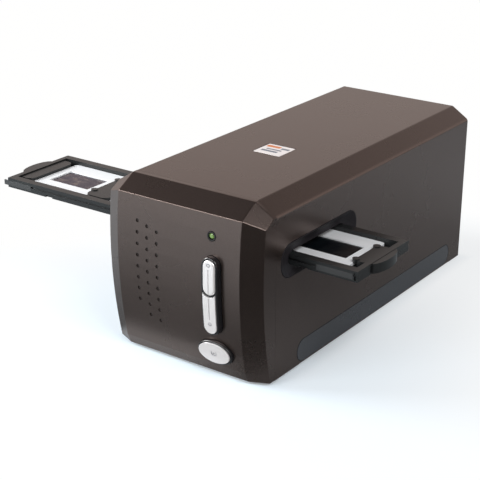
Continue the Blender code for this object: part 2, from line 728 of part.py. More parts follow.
def board_posts():
    """Posts from the bezel's inner face to the corners of the switch board."""
    left, right, bottom, top = switch_board_edges()
    low_z = SURROUND_BOTTOM_Z - SURROUND_FLANGE
    posts = []
    for x in (left + BOARD_POST_INSET, right - BOARD_POST_INSET):
        for z in (low_z, top - BOARD_POST_INSET):
            start = face_y(z) + WALL / 2
            end = SWITCH_BOARD_Y - SEAT_GAP
            posts.append(cylinder("board_post", "Y", x, z, start, end, BOARD_POST_RADIUS))
    return posts


def face_slab(name, proud, back, low, high):
    """A slab whose front follows the bulged face at a distance in front of it."""
    steps = FACE_RINGS
    heights = [low + (high - low) * step / steps for step in range(steps + 1)]
    outline = [(face_y(height) - proud, height) for height in heights]
    outline += [(back, high), (back, low)]
    return prism(name, outline, "X", -HALF_WIDTH, HALF_WIDTH)


def upper_key_outline(grown=0):
    return capsule(KEY_X, KEY_RADIUS + grown, KEYS_SPLIT - grown, KEYS_TOP + grown)


def lower_key_outline(grown=0):
    """Round below, and hollowed above by an arc that keeps its distance to the upper key's end."""
    radius = KEY_RADIUS + grown
    hollow = KEY_RADIUS + KEY_GAP - grown
    centre_z = KEYS_SPLIT + KEY_RADIUS
    reach = math.degrees(math.asin(min(radius / hollow, 1)))
    bottom = arc((KEY_X, KEYS_BOTTOM + KEY_RADIUS), (radius, radius), 180, 360, ROUND_STEPS // 2)
    top = arc((KEY_X, centre_z), (hollow, hollow), -90 + reach, -90 - reach, ROUND_STEPS // 2)
    return bottom + top


def power_outline(grown=0):
    return oval((POWER_X, POWER_HEIGHT), POWER_KEY_WIDTH + 2 * grown, POWER_KEY_TALL + 2 * grown)


def surround(name, outer, flange, pockets, proud, stems):
    """A raised surround: its rim stands through the bezel and its flange lies behind the wall."""
    far = FRONT_Y - proud - OVERRUN
    piece = prism(name, outer, "Y", far, FLANGE_BACK_Y, BLACK)
    slab = face_slab(f"{name}_reach", proud, FLANGE_BACK_Y + OVERRUN, BASE_Z, TOP_Z)
    keep_inside(piece, slab)
    join(piece, prism("flange", flange, "Y", FLANGE_FRONT_Y, FLANGE_BACK_Y))
    cut(piece, *[prism("pocket", pocket, "Y", far, FLANGE_FRONT_Y) for pocket in pockets])
    radius = KEY_STEM_RADIUS + SEAT_GAP
    low, high = FLANGE_FRONT_Y - OVERLAP, FLANGE_BACK_Y + OVERRUN
    cut(piece, *[cylinder("stem_hole", "Y", x, z, low, high, radius) for x, z in stems])
    return piece


def key(name, outline, proud, x, z, empty):
    """A key cap whose face follows the bulge, with a stem that reaches for its switch."""
    far = FRONT_Y - proud - OVERRUN
    piece = prism(name, outline, "Y", far, KEY_BACK_Y, SILVER)
    keep_inside(piece, face_slab(f"{name}_reach", proud, KEY_BACK_Y + OVERRUN, BASE_Z, TOP_Z))
    join(piece, cylinder("stem", "Y", x, z, KEY_BACK_Y - OVERLAP, STEM_END_Y, KEY_STEM_RADIUS))
    ride(piece, empty)
    return piece


def ride(piece, empty):
    piece.parent = empty
    piece.matrix_parent_inverse = empty.matrix_world.inverted()


def axis_empty(name, place):
    empty = bpy.data.objects.new(name, None)
    empty.empty_display_size = KEY_WIDTH
    empty.matrix_world = Matrix.Translation(place)
    PIECES.objects.link(empty)
    return empty


def key_places():
    """Name, stem place and switch name of each key, upper scan key first."""
    upper_z = (KEYS_SPLIT + KEYS_TOP) / 2
    lower_z = (KEYS_BOTTOM + KEYS_SPLIT - KEY_RADIUS) / 2
    return (
        ("upper_scan_key", KEY_X, upper_z, "upper_scan_switch"),
        ("lower_scan_key", KEY_X, lower_z, "lower_scan_switch"),
        ("power_key", POWER_X, POWER_HEIGHT, "power_switch"),
    )


def keys_and_surrounds():
    places = key_places()
    outer = capsule(KEY_X, SURROUND_HALF_WIDTH, SURROUND_BOTTOM_Z, SURROUND_TOP_Z)
    wide = SURROUND_HALF_WIDTH + SURROUND_FLANGE
    flange = capsule(KEY_X, wide, SURROUND_BOTTOM_Z - SURROUND_FLANGE, SURROUND_TOP_Z + SURROUND_FLANGE)
    pockets = [upper_key_outline(KEY_CLEARANCE), lower_key_outline(KEY_CLEARANCE)]
    stems = [(x, z) for _, x, z, _ in places]
    surround("key_surround", outer, flange, pockets, SURROUND_PROUD, stems[:2])
    rim = KEY_CLEARANCE + POWER_RIM
    surround(
        "power_key_ring",
        power_outline(rim),
        power_outline(rim + SURROUND_FLANGE),
        [power_outline(KEY_CLEARANCE)],
        POWER_PROUD,
        stems[2:],
    )
    outlines = (upper_key_outline(), lower_key_outline(), power_outline())
    prouds = (SURROUND_PROUD + KEY_PROUD, SURROUND_PROUD + KEY_PROUD, POWER_PROUD + KEY_PROUD)
    for (name, x, z, switch), outline, proud in zip(places, outlines, prouds):
        empty = axis_empty(f"{name}_axis", (x, KEY_BACK_Y, z))
        key(name, outline, proud, x, z, empty)
        tact_switch(switch, x, z)


def tact_switch(name, x, z):
    half = SWITCH_SIZE / 2
    piece = box(name, (x - half, SWITCH_FRONT_Y, z - half), (x + half, SWITCH_BACK_Y, z + half), BLACK)
    join(piece, cylinder("plunger", "Y", x, z, PLUNGER_TIP_Y, SWITCH_FRONT_Y + OVERLAP, PLUNGER_RADIUS))


def switch_board():
    left, right, bottom, top = switch_board_edges()
    low = (left, SWITCH_BOARD_Y, bottom)
    high = (right, SWITCH_BOARD_Y + BOARD_THICKNESS, top)
    return box("front_switch_board", low, high, BOARD_GREEN)


def status_lamp():
    """A clear light guide in a black grommet, with its foot at the switch board."""
    face = face_y(LAMP_HEIGHT)
    inner = LAMP_RADIUS + SEAT_GAP
    start, end = face - SEAT_GAP, face + LAMP_GROMMET_LENGTH
    grommet = cylinder(
        "status_lamp_grommet", "Y", LAMP_X, LAMP_HEIGHT, start, end, inner + LAMP_GROMMET_WALL, BLACK, ROUND_STEPS
    )
    cut(grommet, cylinder("bore", "Y", LAMP_X, LAMP_HEIGHT, start - OVERRUN, end + OVERRUN, inner, steps=ROUND_STEPS))
    cylinder(
        "status_lamp_lens", "Y", LAMP_X, LAMP_HEIGHT, face, SWITCH_BOARD_Y - SEAT_GAP, LAMP_RADIUS, GREEN, ROUND_STEPS
    )


def scoop(name, side):
    """The black cup in a side slot: a sloped funnel down to the passage for the film holder."""
    low_y, high_y = FILM_Y - SLOT_LENGTH / 2 + SEAT_GAP, FILM_Y + SLOT_LENGTH / 2 - SEAT_GAP
    low_z, high_z = SLOT_Z - SLOT_HEIGHT / 2 + SEAT_GAP, SLOT_Z + SLOT_HEIGHT / 2 - SEAT_GAP
    radius = SLOT_CORNER_RADIUS - SEAT_GAP
    outline = rounded((low_y, low_z), (high_y, high_z), radius)
    ends = sorted((side * SCOOP_INNER_X, side * SCOOP_OUTER_X))
    piece = prism(name, outline, "X", *ends, BLACK)
    wall = SCOOP_WALL
    mouth = rounded((low_y + wall, low_z + wall), (high_y - wall, high_z - wall), radius - wall)
    half_y = HOLDER_WIDTH / 2 + PASSAGE_MARGIN
    half_z = HOLDER_THICKNESS / 2 + PASSAGE_MARGIN
    centre_z = (HOLDER_TOP_Z + HOLDER_BOTTOM_Z) / 2
    passage = rounded(
        (FILM_Y - half_y, centre_z - half_z), (FILM_Y + half_y, centre_z + half_z), PASSAGE_MARGIN
    )
    throat = [
        (a[0] + (b[0] - a[0]) * SCOOP_SLOPE_SHARE, a[1] + (b[1] - a[1]) * SCOOP_SLOPE_SHARE)
        for a, b in zip(mouth, passage)
    ]
    shape = bmesh.new()
    inner_x = SCOOP_INNER_X + SCOOP_WALL
    rings = [
        [(side * inner_x, y, z) for y, z in throat],
        [(side * SCOOP_OUTER_X, y, z) for y, z in mouth],
        [(side * (SCOOP_OUTER_X + OVERRUN), y, z) for y, z in mouth],
    ]
    loft(shape, rings)
    bmesh.ops.recalc_face_normals(shape, faces=shape.faces)
    mesh = bpy.data.meshes.new(f"{name}_funnel")
    shape.to_mesh(mesh)
    shape.free()
    boolean(piece, new_object(f"{name}_funnel", mesh, Vector(), Z_TURN, None), "DIFFERENCE")
    reach = sorted((side * (SCOOP_INNER_X - OVERRUN), side * (inner_x + OVERLAP)))
    cut(piece, prism("passage", passage, "X", *reach))
    return piece


def base_tray():
    half = INNER_HALF_WIDTH
    front = COVER_FRONT_Y
    tray = box("base_tray", (-half, front, BASE_Z), (half, TRAY_REAR_Y, FLOOR_TOP_Z), SLATE)
    wall_top = BASE_Z + TRAY_WALL_HEIGHT
    pad_front = FRONT_Y + PAD_FRONT_FROM_FRONT + SEAT_GAP
    pad = rounded(
        (pad_front, BASE_Z - PAD_HEIGHT),
        (pad_front + PAD_LENGTH - 2 * SEAT_GAP, BASE_Z + PAD_HEIGHT - SEAT_GAP),
        PAD_CORNER_RADIUS - SEAT_GAP,
    )
    tongue_y = face_y(BASE_Z) + SKIRT_BAND_INSET + 2 * WALL
    tongue_half = FACE_HALF_WIDTH - WALL - SEAT_GAP
    join(tray, box("front_tongue", (-tongue_half, tongue_y, BASE_Z), (tongue_half, front + OVERLAP, FLOOR_TOP_Z)))
    walls = []
    pads = []
    for side in (1, -1):
        wall = sorted((side * (half - TRAY_WALL), side * half))
        walls.append(box("wall", (wall[0], front, BASE_Z), (wall[1], TRAY_REAR_Y, wall_top)))
        reach = sorted((side * (half - TRAY_WALL / 2), side * (HALF_WIDTH - PAD_SHY)))
        pads.append(prism("pad", pad, "X", *reach))
    join(tray, *walls)
    join(tray, *pads)
    below = BASE_Z - 2 * PAD_HEIGHT
    cut(tray, box("below", (-BODY_WIDTH, FRONT_Y, below), (BODY_WIDTH, REAR_Y, BASE_Z)))
    panel = (LABEL_PANEL_WIDTH / 2, LABEL_PANEL_LENGTH / 2)
    raised = [
        box("label_panel", (-panel[0], -panel[1], BASE_Z - LABEL_PANEL_RISE), (*panel, FLOOR_TOP_Z - OVERLAP))
    ]
    for x, y in standoff_places():
        top = FLOOR_TOP_Z + BOARD_STANDOFF
        raised.append(cylinder("standoff", "Z", x, y, FLOOR_TOP_Z - OVERLAP, top, STANDOFF_RADIUS))
    join(tray, *raised)
    holes = []
    seats = []
    for x, y in screw_places():
        shank = SCREW_SHANK_RADIUS + SEAT_GAP
        head = SCREW_HEAD_RADIUS + SEAT_GAP
        depth = SCREW_HEAD_HEIGHT + SEAT_GAP
        holes.append(cylinder("shank_hole", "Z", x, y, BASE_Z, FLOOR_TOP_Z + OVERRUN, shank))
        seats.append(cylinder("head_seat", "Z", x, y, BASE_Z - OVERRUN, BASE_Z + depth, head))
    cut(tray, *holes)
    cut(tray, *seats)
    return tray


def screw_places():
    """The corner posts of the chassis, which the base screws go up into."""
    for y in (DECK_FRONT_Y + POST_SIZE / 2, DECK_REAR_Y - POST_SIZE / 2):
        for x in (-POST_X, POST_X):
            yield x, y


def main_board_edges():
    half = POST_X - POST_SIZE / 2 - RUN_CLEARANCE
    rear = TRAY_REAR_Y - RUN_CLEARANCE
    return half, rear - BODY_LENGTH * MAIN_BOARD_LENGTH_SHARE, rear


def standoff_places():
    half, front, rear = main_board_edges()
    inset = 2 * STANDOFF_RADIUS
    for x in (-half + inset, half - inset):
        for y in (front + inset, rear - USB_DEPTH - inset):
            yield x, y


def main_board():
    half, front, rear = main_board_edges()
    board = box("main_board", (-half, front, BOARD_Z), (half, rear, BOARD_TOP_Z), BOARD_GREEN)
    length = rear - front
    chips = []
    for x_share, y_share, size_share in ((-0.35, 0.30, 0.12), (0.30, 0.42, 0.16), (-0.05, 0.62, 0.10)):
        x, y, size = half * x_share, front + length * y_share, length * size_share
        low, high = (x - size / 2, y - size / 2), (x + size / 2, y + size / 2)
        chips.append(box("chip", (*low, BOARD_TOP_Z - OVERLAP), (*high, BOARD_TOP_Z + CHIP_HEIGHT)))
    join(board, *chips)
    return board


def usb_socket():
    rear = REAR_Y - REAR_RECESS
    front = rear - USB_DEPTH
    low_z, high_z = SOCKET_Z, SOCKET_Z + USB_HEIGHT
    left, right = USB_X - USB_WIDTH / 2, USB_X + USB_WIDTH / 2
    socket = box("usb_socket", (left, front, low_z), (right, rear, high_z), STEEL)
    shell = USB_SHELL
    cavity = box(
        "cavity", (left + shell, front + 2 * shell, low_z + shell), (right - shell, rear + OVERRUN, high_z - shell)
    )
    cut(socket, cavity)
    half_x = USB_WIDTH * USB_TONGUE_SHARE / 2
    half_z = USB_HEIGHT * USB_TONGUE_SHARE / 2
    centre_z = (low_z + high_z) / 2
    tip = rear - USB_DEPTH * SOCKET_MOUTH_SHARE
    join(
        socket,
        box("tongue", (USB_X - half_x, front + shell, centre_z - half_z), (USB_X + half_x, tip, centre_z + half_z)),
    )
    return socket


def power_jack():
    rear = REAR_Y - REAR_RECESS
    front = rear - JACK_DEPTH
    centre_z = SOCKET_Z + JACK_HEIGHT / 2
    left, right = JACK_X - JACK_WIDTH / 2, JACK_X + JACK_WIDTH / 2
    jack = box("power_jack", (left, front, SOCKET_Z), (right, rear, SOCKET_Z + JACK_HEIGHT), BLACK)
    floor = front + 2 * USB_SHELL
    cut(jack, cylinder("bore", "Y", JACK_X, centre_z, floor, rear + OVERRUN, JACK_BORE_RADIUS, steps=ROUND_STEPS))
    tip = rear - JACK_DEPTH * SOCKET_MOUTH_SHARE
    join(jack, cylinder("pin", "Y", JACK_X, centre_z, front + USB_SHELL, tip, JACK_PIN_RADIUS))
    return jack


def rear_panel():
    outline = cover_section(WALL + SEAT_GAP)
    panel = prism("rear_panel", outline, "Y", PANEL_FRONT_Y, PANEL_REAR_Y, BROWN)
    low, high = PANEL_FRONT_Y - OVERRUN, PANEL_REAR_Y + OVERRUN
    openings = []
    for x, width, tall in ((USB_X, USB_WIDTH, USB_HEIGHT), (JACK_X, JACK_WIDTH, JACK_HEIGHT)):
        half = width / 2 + SEAT_GAP
        openings.append(
            box("port_opening", (x - half, low, SOCKET_Z - SEAT_GAP), (x + half, high, SOCKET_Z + tall + SEAT_GAP))
        )
    top = SHOULDER_Z - REAR_VENT_OVER_SHOULDER
    for row in range(REAR_VENT_COUNT):
        z = top - row * REAR_VENT_PITCH
        half = REAR_VENT_WIDTH / 2
        openings.append(box("vent", (-half, low, z - REAR_VENT_HEIGHT), (half, high, z)))
    cut(panel, *openings)
    return panel


def feet():
    for row, y in (("front", FRONT_Y + FOOT_FRONT_INSET), ("rear", REAR_Y - FOOT_REAR_INSET)):
        for hand, side in (("left", -1), ("right", 1)):
            x = side * (HALF_WIDTH - FOOT_SIDE_INSET)
            cylinder(
                f"foot_{row}_{hand}", "Z", x, y, 0, BASE_Z - SEAT_GAP, FOOT_RADIUS, RUBBER, ROUND_STEPS
            )


def base_screws():
    for index, (x, y) in enumerate(screw_places()):
        head_low = BASE_Z + SEAT_GAP / 2
        head_high = head_low + SCREW_HEAD_HEIGHT - SEAT_GAP / 2
        screw = cylinder(
            f"base_screw_{index + 1}", "Z", x, y, head_low, head_high, SCREW_HEAD_RADIUS, STEEL
        )
        shank_low = head_high - OVERLAP
        join(screw, cylinder("shank", "Z", x, y, shank_low, head_low + SCREW_LENGTH, SCREW_SHANK_RADIUS))


def chassis_deck():
    half = POST_X + POST_SIZE / 2
    deck = box("chassis_deck", (-half, DECK_FRONT_Y, DECK_Z), (half, DECK_REAR_Y, DECK_TOP_Z), ALLOY)
    size = POST_SIZE / 2
    lower = []
    bores = []
    for x, y in screw_places():
        lower.append(
            box("lower_post", (x - size, y - size, FLOOR_TOP_Z + SEAT_GAP), (x + size, y + size, DECK_Z + OVERLAP))
        )
        top = BASE_Z + SCREW_LENGTH + RUN_CLEARANCE
        bores.append(
            cylinder("screw_bore", "Z", x, y, FLOOR_TOP_Z - OVERRUN, top, SCREW_SHANK_RADIUS + SEAT_GAP)
        )
    upper = []
    top = GATE_BOTTOM_Z - SEAT_GAP
    for x in (-POST_X, POST_X):
        for y in (FILM_Y - CHANNEL_HALF_WIDTH + size, FILM_Y + CHANNEL_HALF_WIDTH - size):
            upper.append(box("upper_post", (x - size, y - size, DECK_TOP_Z - OVERLAP), (x + size, y + size, top)))
    join(deck, *lower)
    join(deck, *upper)
    cut(deck, *bores)
    return deck


def rod_blocks():
    half = ROD_X + LUG_RADIUS
    low_z = DECK_TOP_Z + SEAT_GAP
    high_z = AXIS_Z + LUG_RADIUS + ROD_BLOCK_TOP
    for name, front in (("front_rod_block", FRONT_BLOCK_Y), ("rear_rod_block", REAR_BLOCK_Y)):
        rear = front + ROD_BLOCK_DEPTH
        block = box(name, (-half, front, low_z), (half, rear, high_z), BLACK)
        bores = []
        for x in (-ROD_X, ROD_X):
            bores.append(
                cylinder("bore", "Y", x, AXIS_Z, front - OVERRUN, rear + OVERRUN, ROD_RADIUS + SEAT_GAP, steps=ROUND_STEPS)
            )
        if name == "front_rod_block":
            radius = LEAD_SCREW_RADIUS + SEAT_GAP
            bores.append(cylinder("journal", "Y", 0, AXIS_Z, front - OVERRUN, rear + OVERRUN, radius))
        cut(block, *bores)
    for name, x in (("left_guide_rod", -ROD_X), ("right_guide_rod", ROD_X)):
        end = REAR_BLOCK_Y + ROD_BLOCK_DEPTH
        cylinder(name, "Y", x, AXIS_Z, FRONT_BLOCK_Y, end, ROD_RADIUS, STEEL, ROUND_STEPS)


def carriage():
    empty = axis_empty("carriage_axis", (0, CARRIAGE_FRONT_Y, AXIS_Z))
    front, rear = CARRIAGE_FRONT_Y, CARRIAGE_REAR_Y
    half = ROD_X + LUG_RADIUS
    body = box("carriage_body", (-half, front, PLATE_Z), (half, rear, PLATE_TOP_Z), BLACK)
    lugs = []
    bores = []
    low_z = AXIS_Z - LUG_RADIUS
    for x in (-ROD_X, ROD_X):
        for y in (front, rear - LUG_LENGTH):
            low, high = (x - LUG_RADIUS, y, low_z), (x + LUG_RADIUS, y + LUG_LENGTH, PLATE_Z + OVERLAP)
            lugs.append(box("lug", low, high))
        bores.append(cylinder("bore", "Y", x, AXIS_Z, front - OVERRUN, rear + OVERRUN, ROD_RADIUS + SEAT_GAP, steps=ROUND_STEPS))
    nut_y = (front + rear) / 2
    nut_half = LEAD_SCREW_RADIUS + SEAT_GAP + LUG_WALL
    lugs.append(
        box("nut", (-nut_half, nut_y, AXIS_Z - nut_half), (nut_half, nut_y + LUG_LENGTH, PLATE_Z + OVERLAP))
    )
    bores.append(
        cylinder("nut_bore", "Y", 0, AXIS_Z, nut_y - OVERRUN, nut_y + LUG_LENGTH + OVERRUN, LEAD_SCREW_RADIUS + SEAT_GAP, steps=ROUND_STEPS)
    )
    join(body, *lugs)
    join(body, mirror_wedge(), *lens_cradles(), sensor_stop())
    cut(body, *bores)
    ride(body, empty)
    for piece in (mirror(), lens_barrel(), lens_glass(), sensor_board()):
        ride(piece, empty)


def mirror_rise():
    return OPTIC_HEIGHT - 2 * RUN_CLEARANCE


def mirror_wedge():
    """The sloped block under the fold mirror, which turns the light from the film to the rear."""
    rise = mirror_rise()
    base = PLATE_TOP_Z
    front = FILM_Y - rise / 2
    outline = [(front, base - OVERLAP), (front + rise, base - OVERLAP), (front + rise, base), (front, base + rise)]
    return prism("mirror_wedge", outline, "X", -MIRROR_WIDTH / 2, MIRROR_WIDTH / 2)


def mirror():
    rise = mirror_rise()
    start = FILM_Y - rise / 2 + SEAT_GAP * math.sqrt(2)
    base = PLATE_TOP_Z
    thick = MIRROR_THICKNESS * math.sqrt(2)
    lift = thick
    outline = [
        (start + rise - lift, base + lift),
        (start + rise - lift + thick / 2, base + lift + thick / 2),
        (start + thick / 2, base + rise + thick / 2),
        (start, base + rise),
    ]
    return prism("fold_mirror", outline, "X", -MIRROR_WIDTH / 2, MIRROR_WIDTH / 2, GLASS)


def lens_ends():
    middle = CARRIAGE_FRONT_Y + CARRIAGE_LENGTH * LENS_PLACE_SHARE
    return middle - LENS_LENGTH / 2, middle + LENS_LENGTH / 2


def lens_cradles():
    """Two notched saddles that hold the lens barrel over the carriage plate."""
    front, rear = lens_ends()
    depth = LENS_LENGTH / 6
    saddles = []
    radius = LENS_RADIUS + SEAT_GAP
    rim = arc((0, OPTIC_Z), (radius, radius), 180, 360, ROUND_STEPS // 2)
    outer = LENS_RADIUS + LENS_WALL
    outline = rim + [(outer, OPTIC_Z), (outer, PLATE_TOP_Z - OVERLAP), (-outer, PLATE_TOP_Z - OVERLAP), (-outer, OPTIC_Z)]
    for start in (front + depth / 2, rear - depth * 3 / 2):
        saddles.append(prism("saddle", outline, "Y", start, start + depth))
    return saddles


def lens_barrel():
    front, rear = lens_ends()
    barrel = cylinder("lens_barrel", "Y", 0, OPTIC_Z, front, rear, LENS_RADIUS, BLACK, ROUND_STEPS)
    radius = LENS_RADIUS - LENS_WALL
    cut(barrel, cylinder("bore", "Y", 0, OPTIC_Z, front - OVERRUN, rear + OVERRUN, radius, steps=ROUND_STEPS))
    return barrel


def lens_glass():
    front, _ = lens_ends()
    start = front + LENS_WALL
    radius = LENS_RADIUS - LENS_WALL - SEAT_GAP
    return cylinder("lens_glass", "Y", 0, OPTIC_Z, start, start + GLASS_THICKNESS, radius, GLASS, ROUND_STEPS)


def sensor_board_y():
    return CARRIAGE_REAR_Y - 2 * LENS_WALL - BOARD_THICKNESS


def sensor_stop():
    """The low wall behind the sensor board, which holds it upright."""
    low_y = sensor_board_y() + BOARD_THICKNESS + SEAT_GAP
    half = SENSOR_BOARD_WIDTH / 2
    return box("sensor_stop", (-half, low_y, PLATE_TOP_Z - OVERLAP), (half, low_y + LENS_WALL, OPTIC_Z))


def sensor_board():
    low_y = sensor_board_y()
    half = SENSOR_BOARD_WIDTH / 2
    low_z, high_z = PLATE_TOP_Z + SEAT_GAP, OPTIC_Z + OPTIC_HEIGHT / 2
    board = box("sensor_board", (-half, low_y, low_z), (half, low_y + BOARD_THICKNESS, high_z), BOARD_GREEN)
    sensor = SENSOR_SIZE / 2
    tall = OPTIC_HEIGHT / 6
    join(
        board,
        box("sensor", (-sensor, low_y - CHIP_HEIGHT, OPTIC_Z - tall), (sensor, low_y + OVERLAP, OPTIC_Z + tall)),
    )
    return board


def drive():
    """The stepper motor turns the lead screw through a coupling; the nut on the carriage follows it."""
    empty = axis_empty("lead_screw_axis", (0, COUPLING_FRONT_Y, AXIS_Z))
    half = MOTOR_SIZE / 2
    motor = box(
        "stepper_motor", (-half, MOTOR_FRONT_Y, AXIS_Z - half), (half, MOTOR_REAR_Y, AXIS_Z + half), ALLOY
    )
    boss_front = MOTOR_FRONT_Y - MOTOR_BOSS_LENGTH
    join(motor, cylinder("boss", "Y", 0, AXIS_Z, boss_front, MOTOR_FRONT_Y + OVERLAP, MOTOR_BOSS_RADIUS, steps=ROUND_STEPS))
    stub_end = MOTOR_FRONT_Y + MOTOR_LENGTH / 4
    cut(motor, cylinder("shaft_bore", "Y", 0, AXIS_Z, boss_front - OVERRUN, stub_end + SEAT_GAP, MOTOR_SHAFT_RADIUS + SEAT_GAP))
    screw_rear = COUPLING_FRONT_Y + COUPLING_LENGTH / 2
    screw = cylinder("lead_screw", "Y", 0, AXIS_Z, FRONT_BLOCK_Y, screw_rear, LEAD_SCREW_RADIUS, STEEL, ROUND_STEPS)
    coupling_radius = LEAD_SCREW_RADIUS + SEAT_GAP + COUPLING_WALL
    coupling = cylinder(
        "shaft_coupling", "Y", 0, AXIS_Z, COUPLING_FRONT_Y, COUPLING_REAR_Y, coupling_radius, ALLOY, ROUND_STEPS
    )
    bore_end = screw_rear + SEAT_GAP
    cut(coupling, cylinder("bore", "Y", 0, AXIS_Z, COUPLING_FRONT_Y - OVERRUN, bore_end, LEAD_SCREW_RADIUS + SEAT_GAP, steps=ROUND_STEPS))
    join(coupling, cylinder("shaft", "Y", 0, AXIS_Z, COUPLING_REAR_Y - OVERLAP, stub_end, MOTOR_SHAFT_RADIUS))
    for piece in (screw, coupling):
        ride(piece, empty)
    home_sensor()


def home_sensor():
    """A slotted light barrier beside the carriage's front end."""
    size = HOME_SENSOR_SIZE
    x = POST_X
    y = (CARRIAGE_FRONT_Y + CARRIAGE_REAR_Y) / 2
    low_z = DECK_TOP_Z + SEAT_GAP
    low, high = (x - size / 4, y - size / 2, low_z), (x + size / 4, y + size / 2, low_z + size)
    sensor = box("home_sensor", low, high, BLACK)
    cut(sensor, box("slit", (x - size, y - size / 8, low_z + size / 3), (x + size, y + size / 8, low_z + 2 * size)))


def film_gate():
    inner, wall = CHANNEL_HALF_WIDTH, GATE_WALL
    low, high = GATE_BOTTOM_Z, GATE_WALL_TOP_Z
    floor = GATE_FLOOR_TOP_Z
    section = [
        (FILM_Y - inner - wall, low),
        (FILM_Y + inner + wall, low),
        (FILM_Y + inner + wall, high),
        (FILM_Y + inner, high),
        (FILM_Y + inner, floor),
        (FILM_Y - inner, floor),
        (FILM_Y - inner, high),
        (FILM_Y - inner - wall, high),
    ]
    channel = prism("film_gate_channel", section, "X", -GATE_HALF_LENGTH, GATE_HALF_LENGTH, BLACK)
    half_x = SLIDE_WINDOW_WIDTH / 2 + GATE_WINDOW_MARGIN
    half_y = SLIDE_WINDOW_DEPTH / 2 + GATE_WINDOW_MARGIN
    x0, x1 = GATE_OFFSET - half_x, GATE_OFFSET + half_x
    nose = SPRING_NOSE + RUN_CLEARANCE
    spring_z = HOLDER_BOTTOM_Z + HOLDER_THICKNESS / 2
    cut(
        channel,
        box("window", (x0, FILM_Y - half_y, low - OVERRUN), (x1, FILM_Y + half_y, floor + OVERRUN)),
        box(
            "spring_hole",
            (GATE_OFFSET - nose, FILM_Y - inner - wall - OVERRUN, spring_z - nose / 2),
            (GATE_OFFSET + nose, FILM_Y - inner + OVERRUN / 2, spring_z + nose / 2),
        ),
    )
    lid_low, lid_high = GATE_LID_Z, GATE_LID_Z + GATE_LID
    reach = inner + wall
    lid = box(
        "film_gate_lid", (-GATE_HALF_LENGTH, FILM_Y - reach, lid_low), (GATE_HALF_LENGTH, FILM_Y + reach, lid_high), BLACK
    )
    cut(lid, box("window", (x0, FILM_Y - half_y, lid_low - OVERRUN), (x1, FILM_Y + half_y, lid_high + OVERRUN)))
    detent_spring(spring_z)


def detent_spring(z):
    """A leaf along the channel's outer wall, whose nose reaches in to the notches of the holder."""
    wall_y = FILM_Y - CHANNEL_HALF_WIDTH - GATE_WALL - SEAT_GAP
    leaf_y = wall_y - SPRING_THICKNESS
    tip_y = FILM_Y - HOLDER_WIDTH / 2 - SEAT_GAP
    nose, thick, half = SPRING_NOSE / 2, SPRING_THICKNESS, SPRING_LENGTH / 2
    x = GATE_OFFSET
    outline = [
        (x - half, leaf_y),
        (x + half, leaf_y),
        (x + half, wall_y),
        (x + nose + thick, wall_y),
        (x + thick / 2, tip_y),
        (x - thick / 2, tip_y),
        (x - nose - thick, wall_y),
        (x - half, wall_y),
    ]
    prism("detent_spring", outline, "Z", z - nose, z + nose, STEEL)


def lamp_unit():
    low = LAMP_Z
    half_x, half_y, wall = LAMP_BOX_WIDTH / 2, LAMP_BOX_LENGTH / 2, LAMP_BOX_WALL
    high = low + LAMP_BOX_HEIGHT
    x = GATE_OFFSET
    housing = box("lamp_housing", (x - half_x, FILM_Y - half_y, low), (x + half_x, FILM_Y + half_y, high), ALLOY)
    inner_x, inner_y = half_x - wall, half_y - wall
    cut(
        housing,
        box("inside", (x - inner_x, FILM_Y - inner_y, low - OVERRUN), (x + inner_x, FILM_Y + inner_y, high - wall)),
    )
    fit_x, fit_y = inner_x - SEAT_GAP, inner_y - SEAT_GAP
    box(
        "diffuser", (x - fit_x, FILM_Y - fit_y, low), (x + fit_x, FILM_Y + fit_y, low + DIFFUSER_THICKNESS), DIFFUSER_WHITE
    )
    board_high = high - wall - SEAT_GAP
    board_low = board_high - BOARD_THICKNESS
    board = box("lamp_board", (x - fit_x, FILM_Y - fit_y, board_low), (x + fit_x, FILM_Y + fit_y, board_high), WHITE)
    leds = []
    half = LED_SIZE / 2
    for index in range(LED_COUNT):
        led_x = x + (index - (LED_COUNT - 1) / 2) * LED_PITCH
        low_corner = (led_x - half, FILM_Y - half, board_low - LED_HEIGHT)
        leds.append(box("led", low_corner, (led_x + half, FILM_Y + half, board_low + OVERLAP)))
    join(board, *leds)


def frame_centres():
    return [FIRST_FRAME_X + index * FRAME_PITCH for index in range(FRAME_COUNT)]


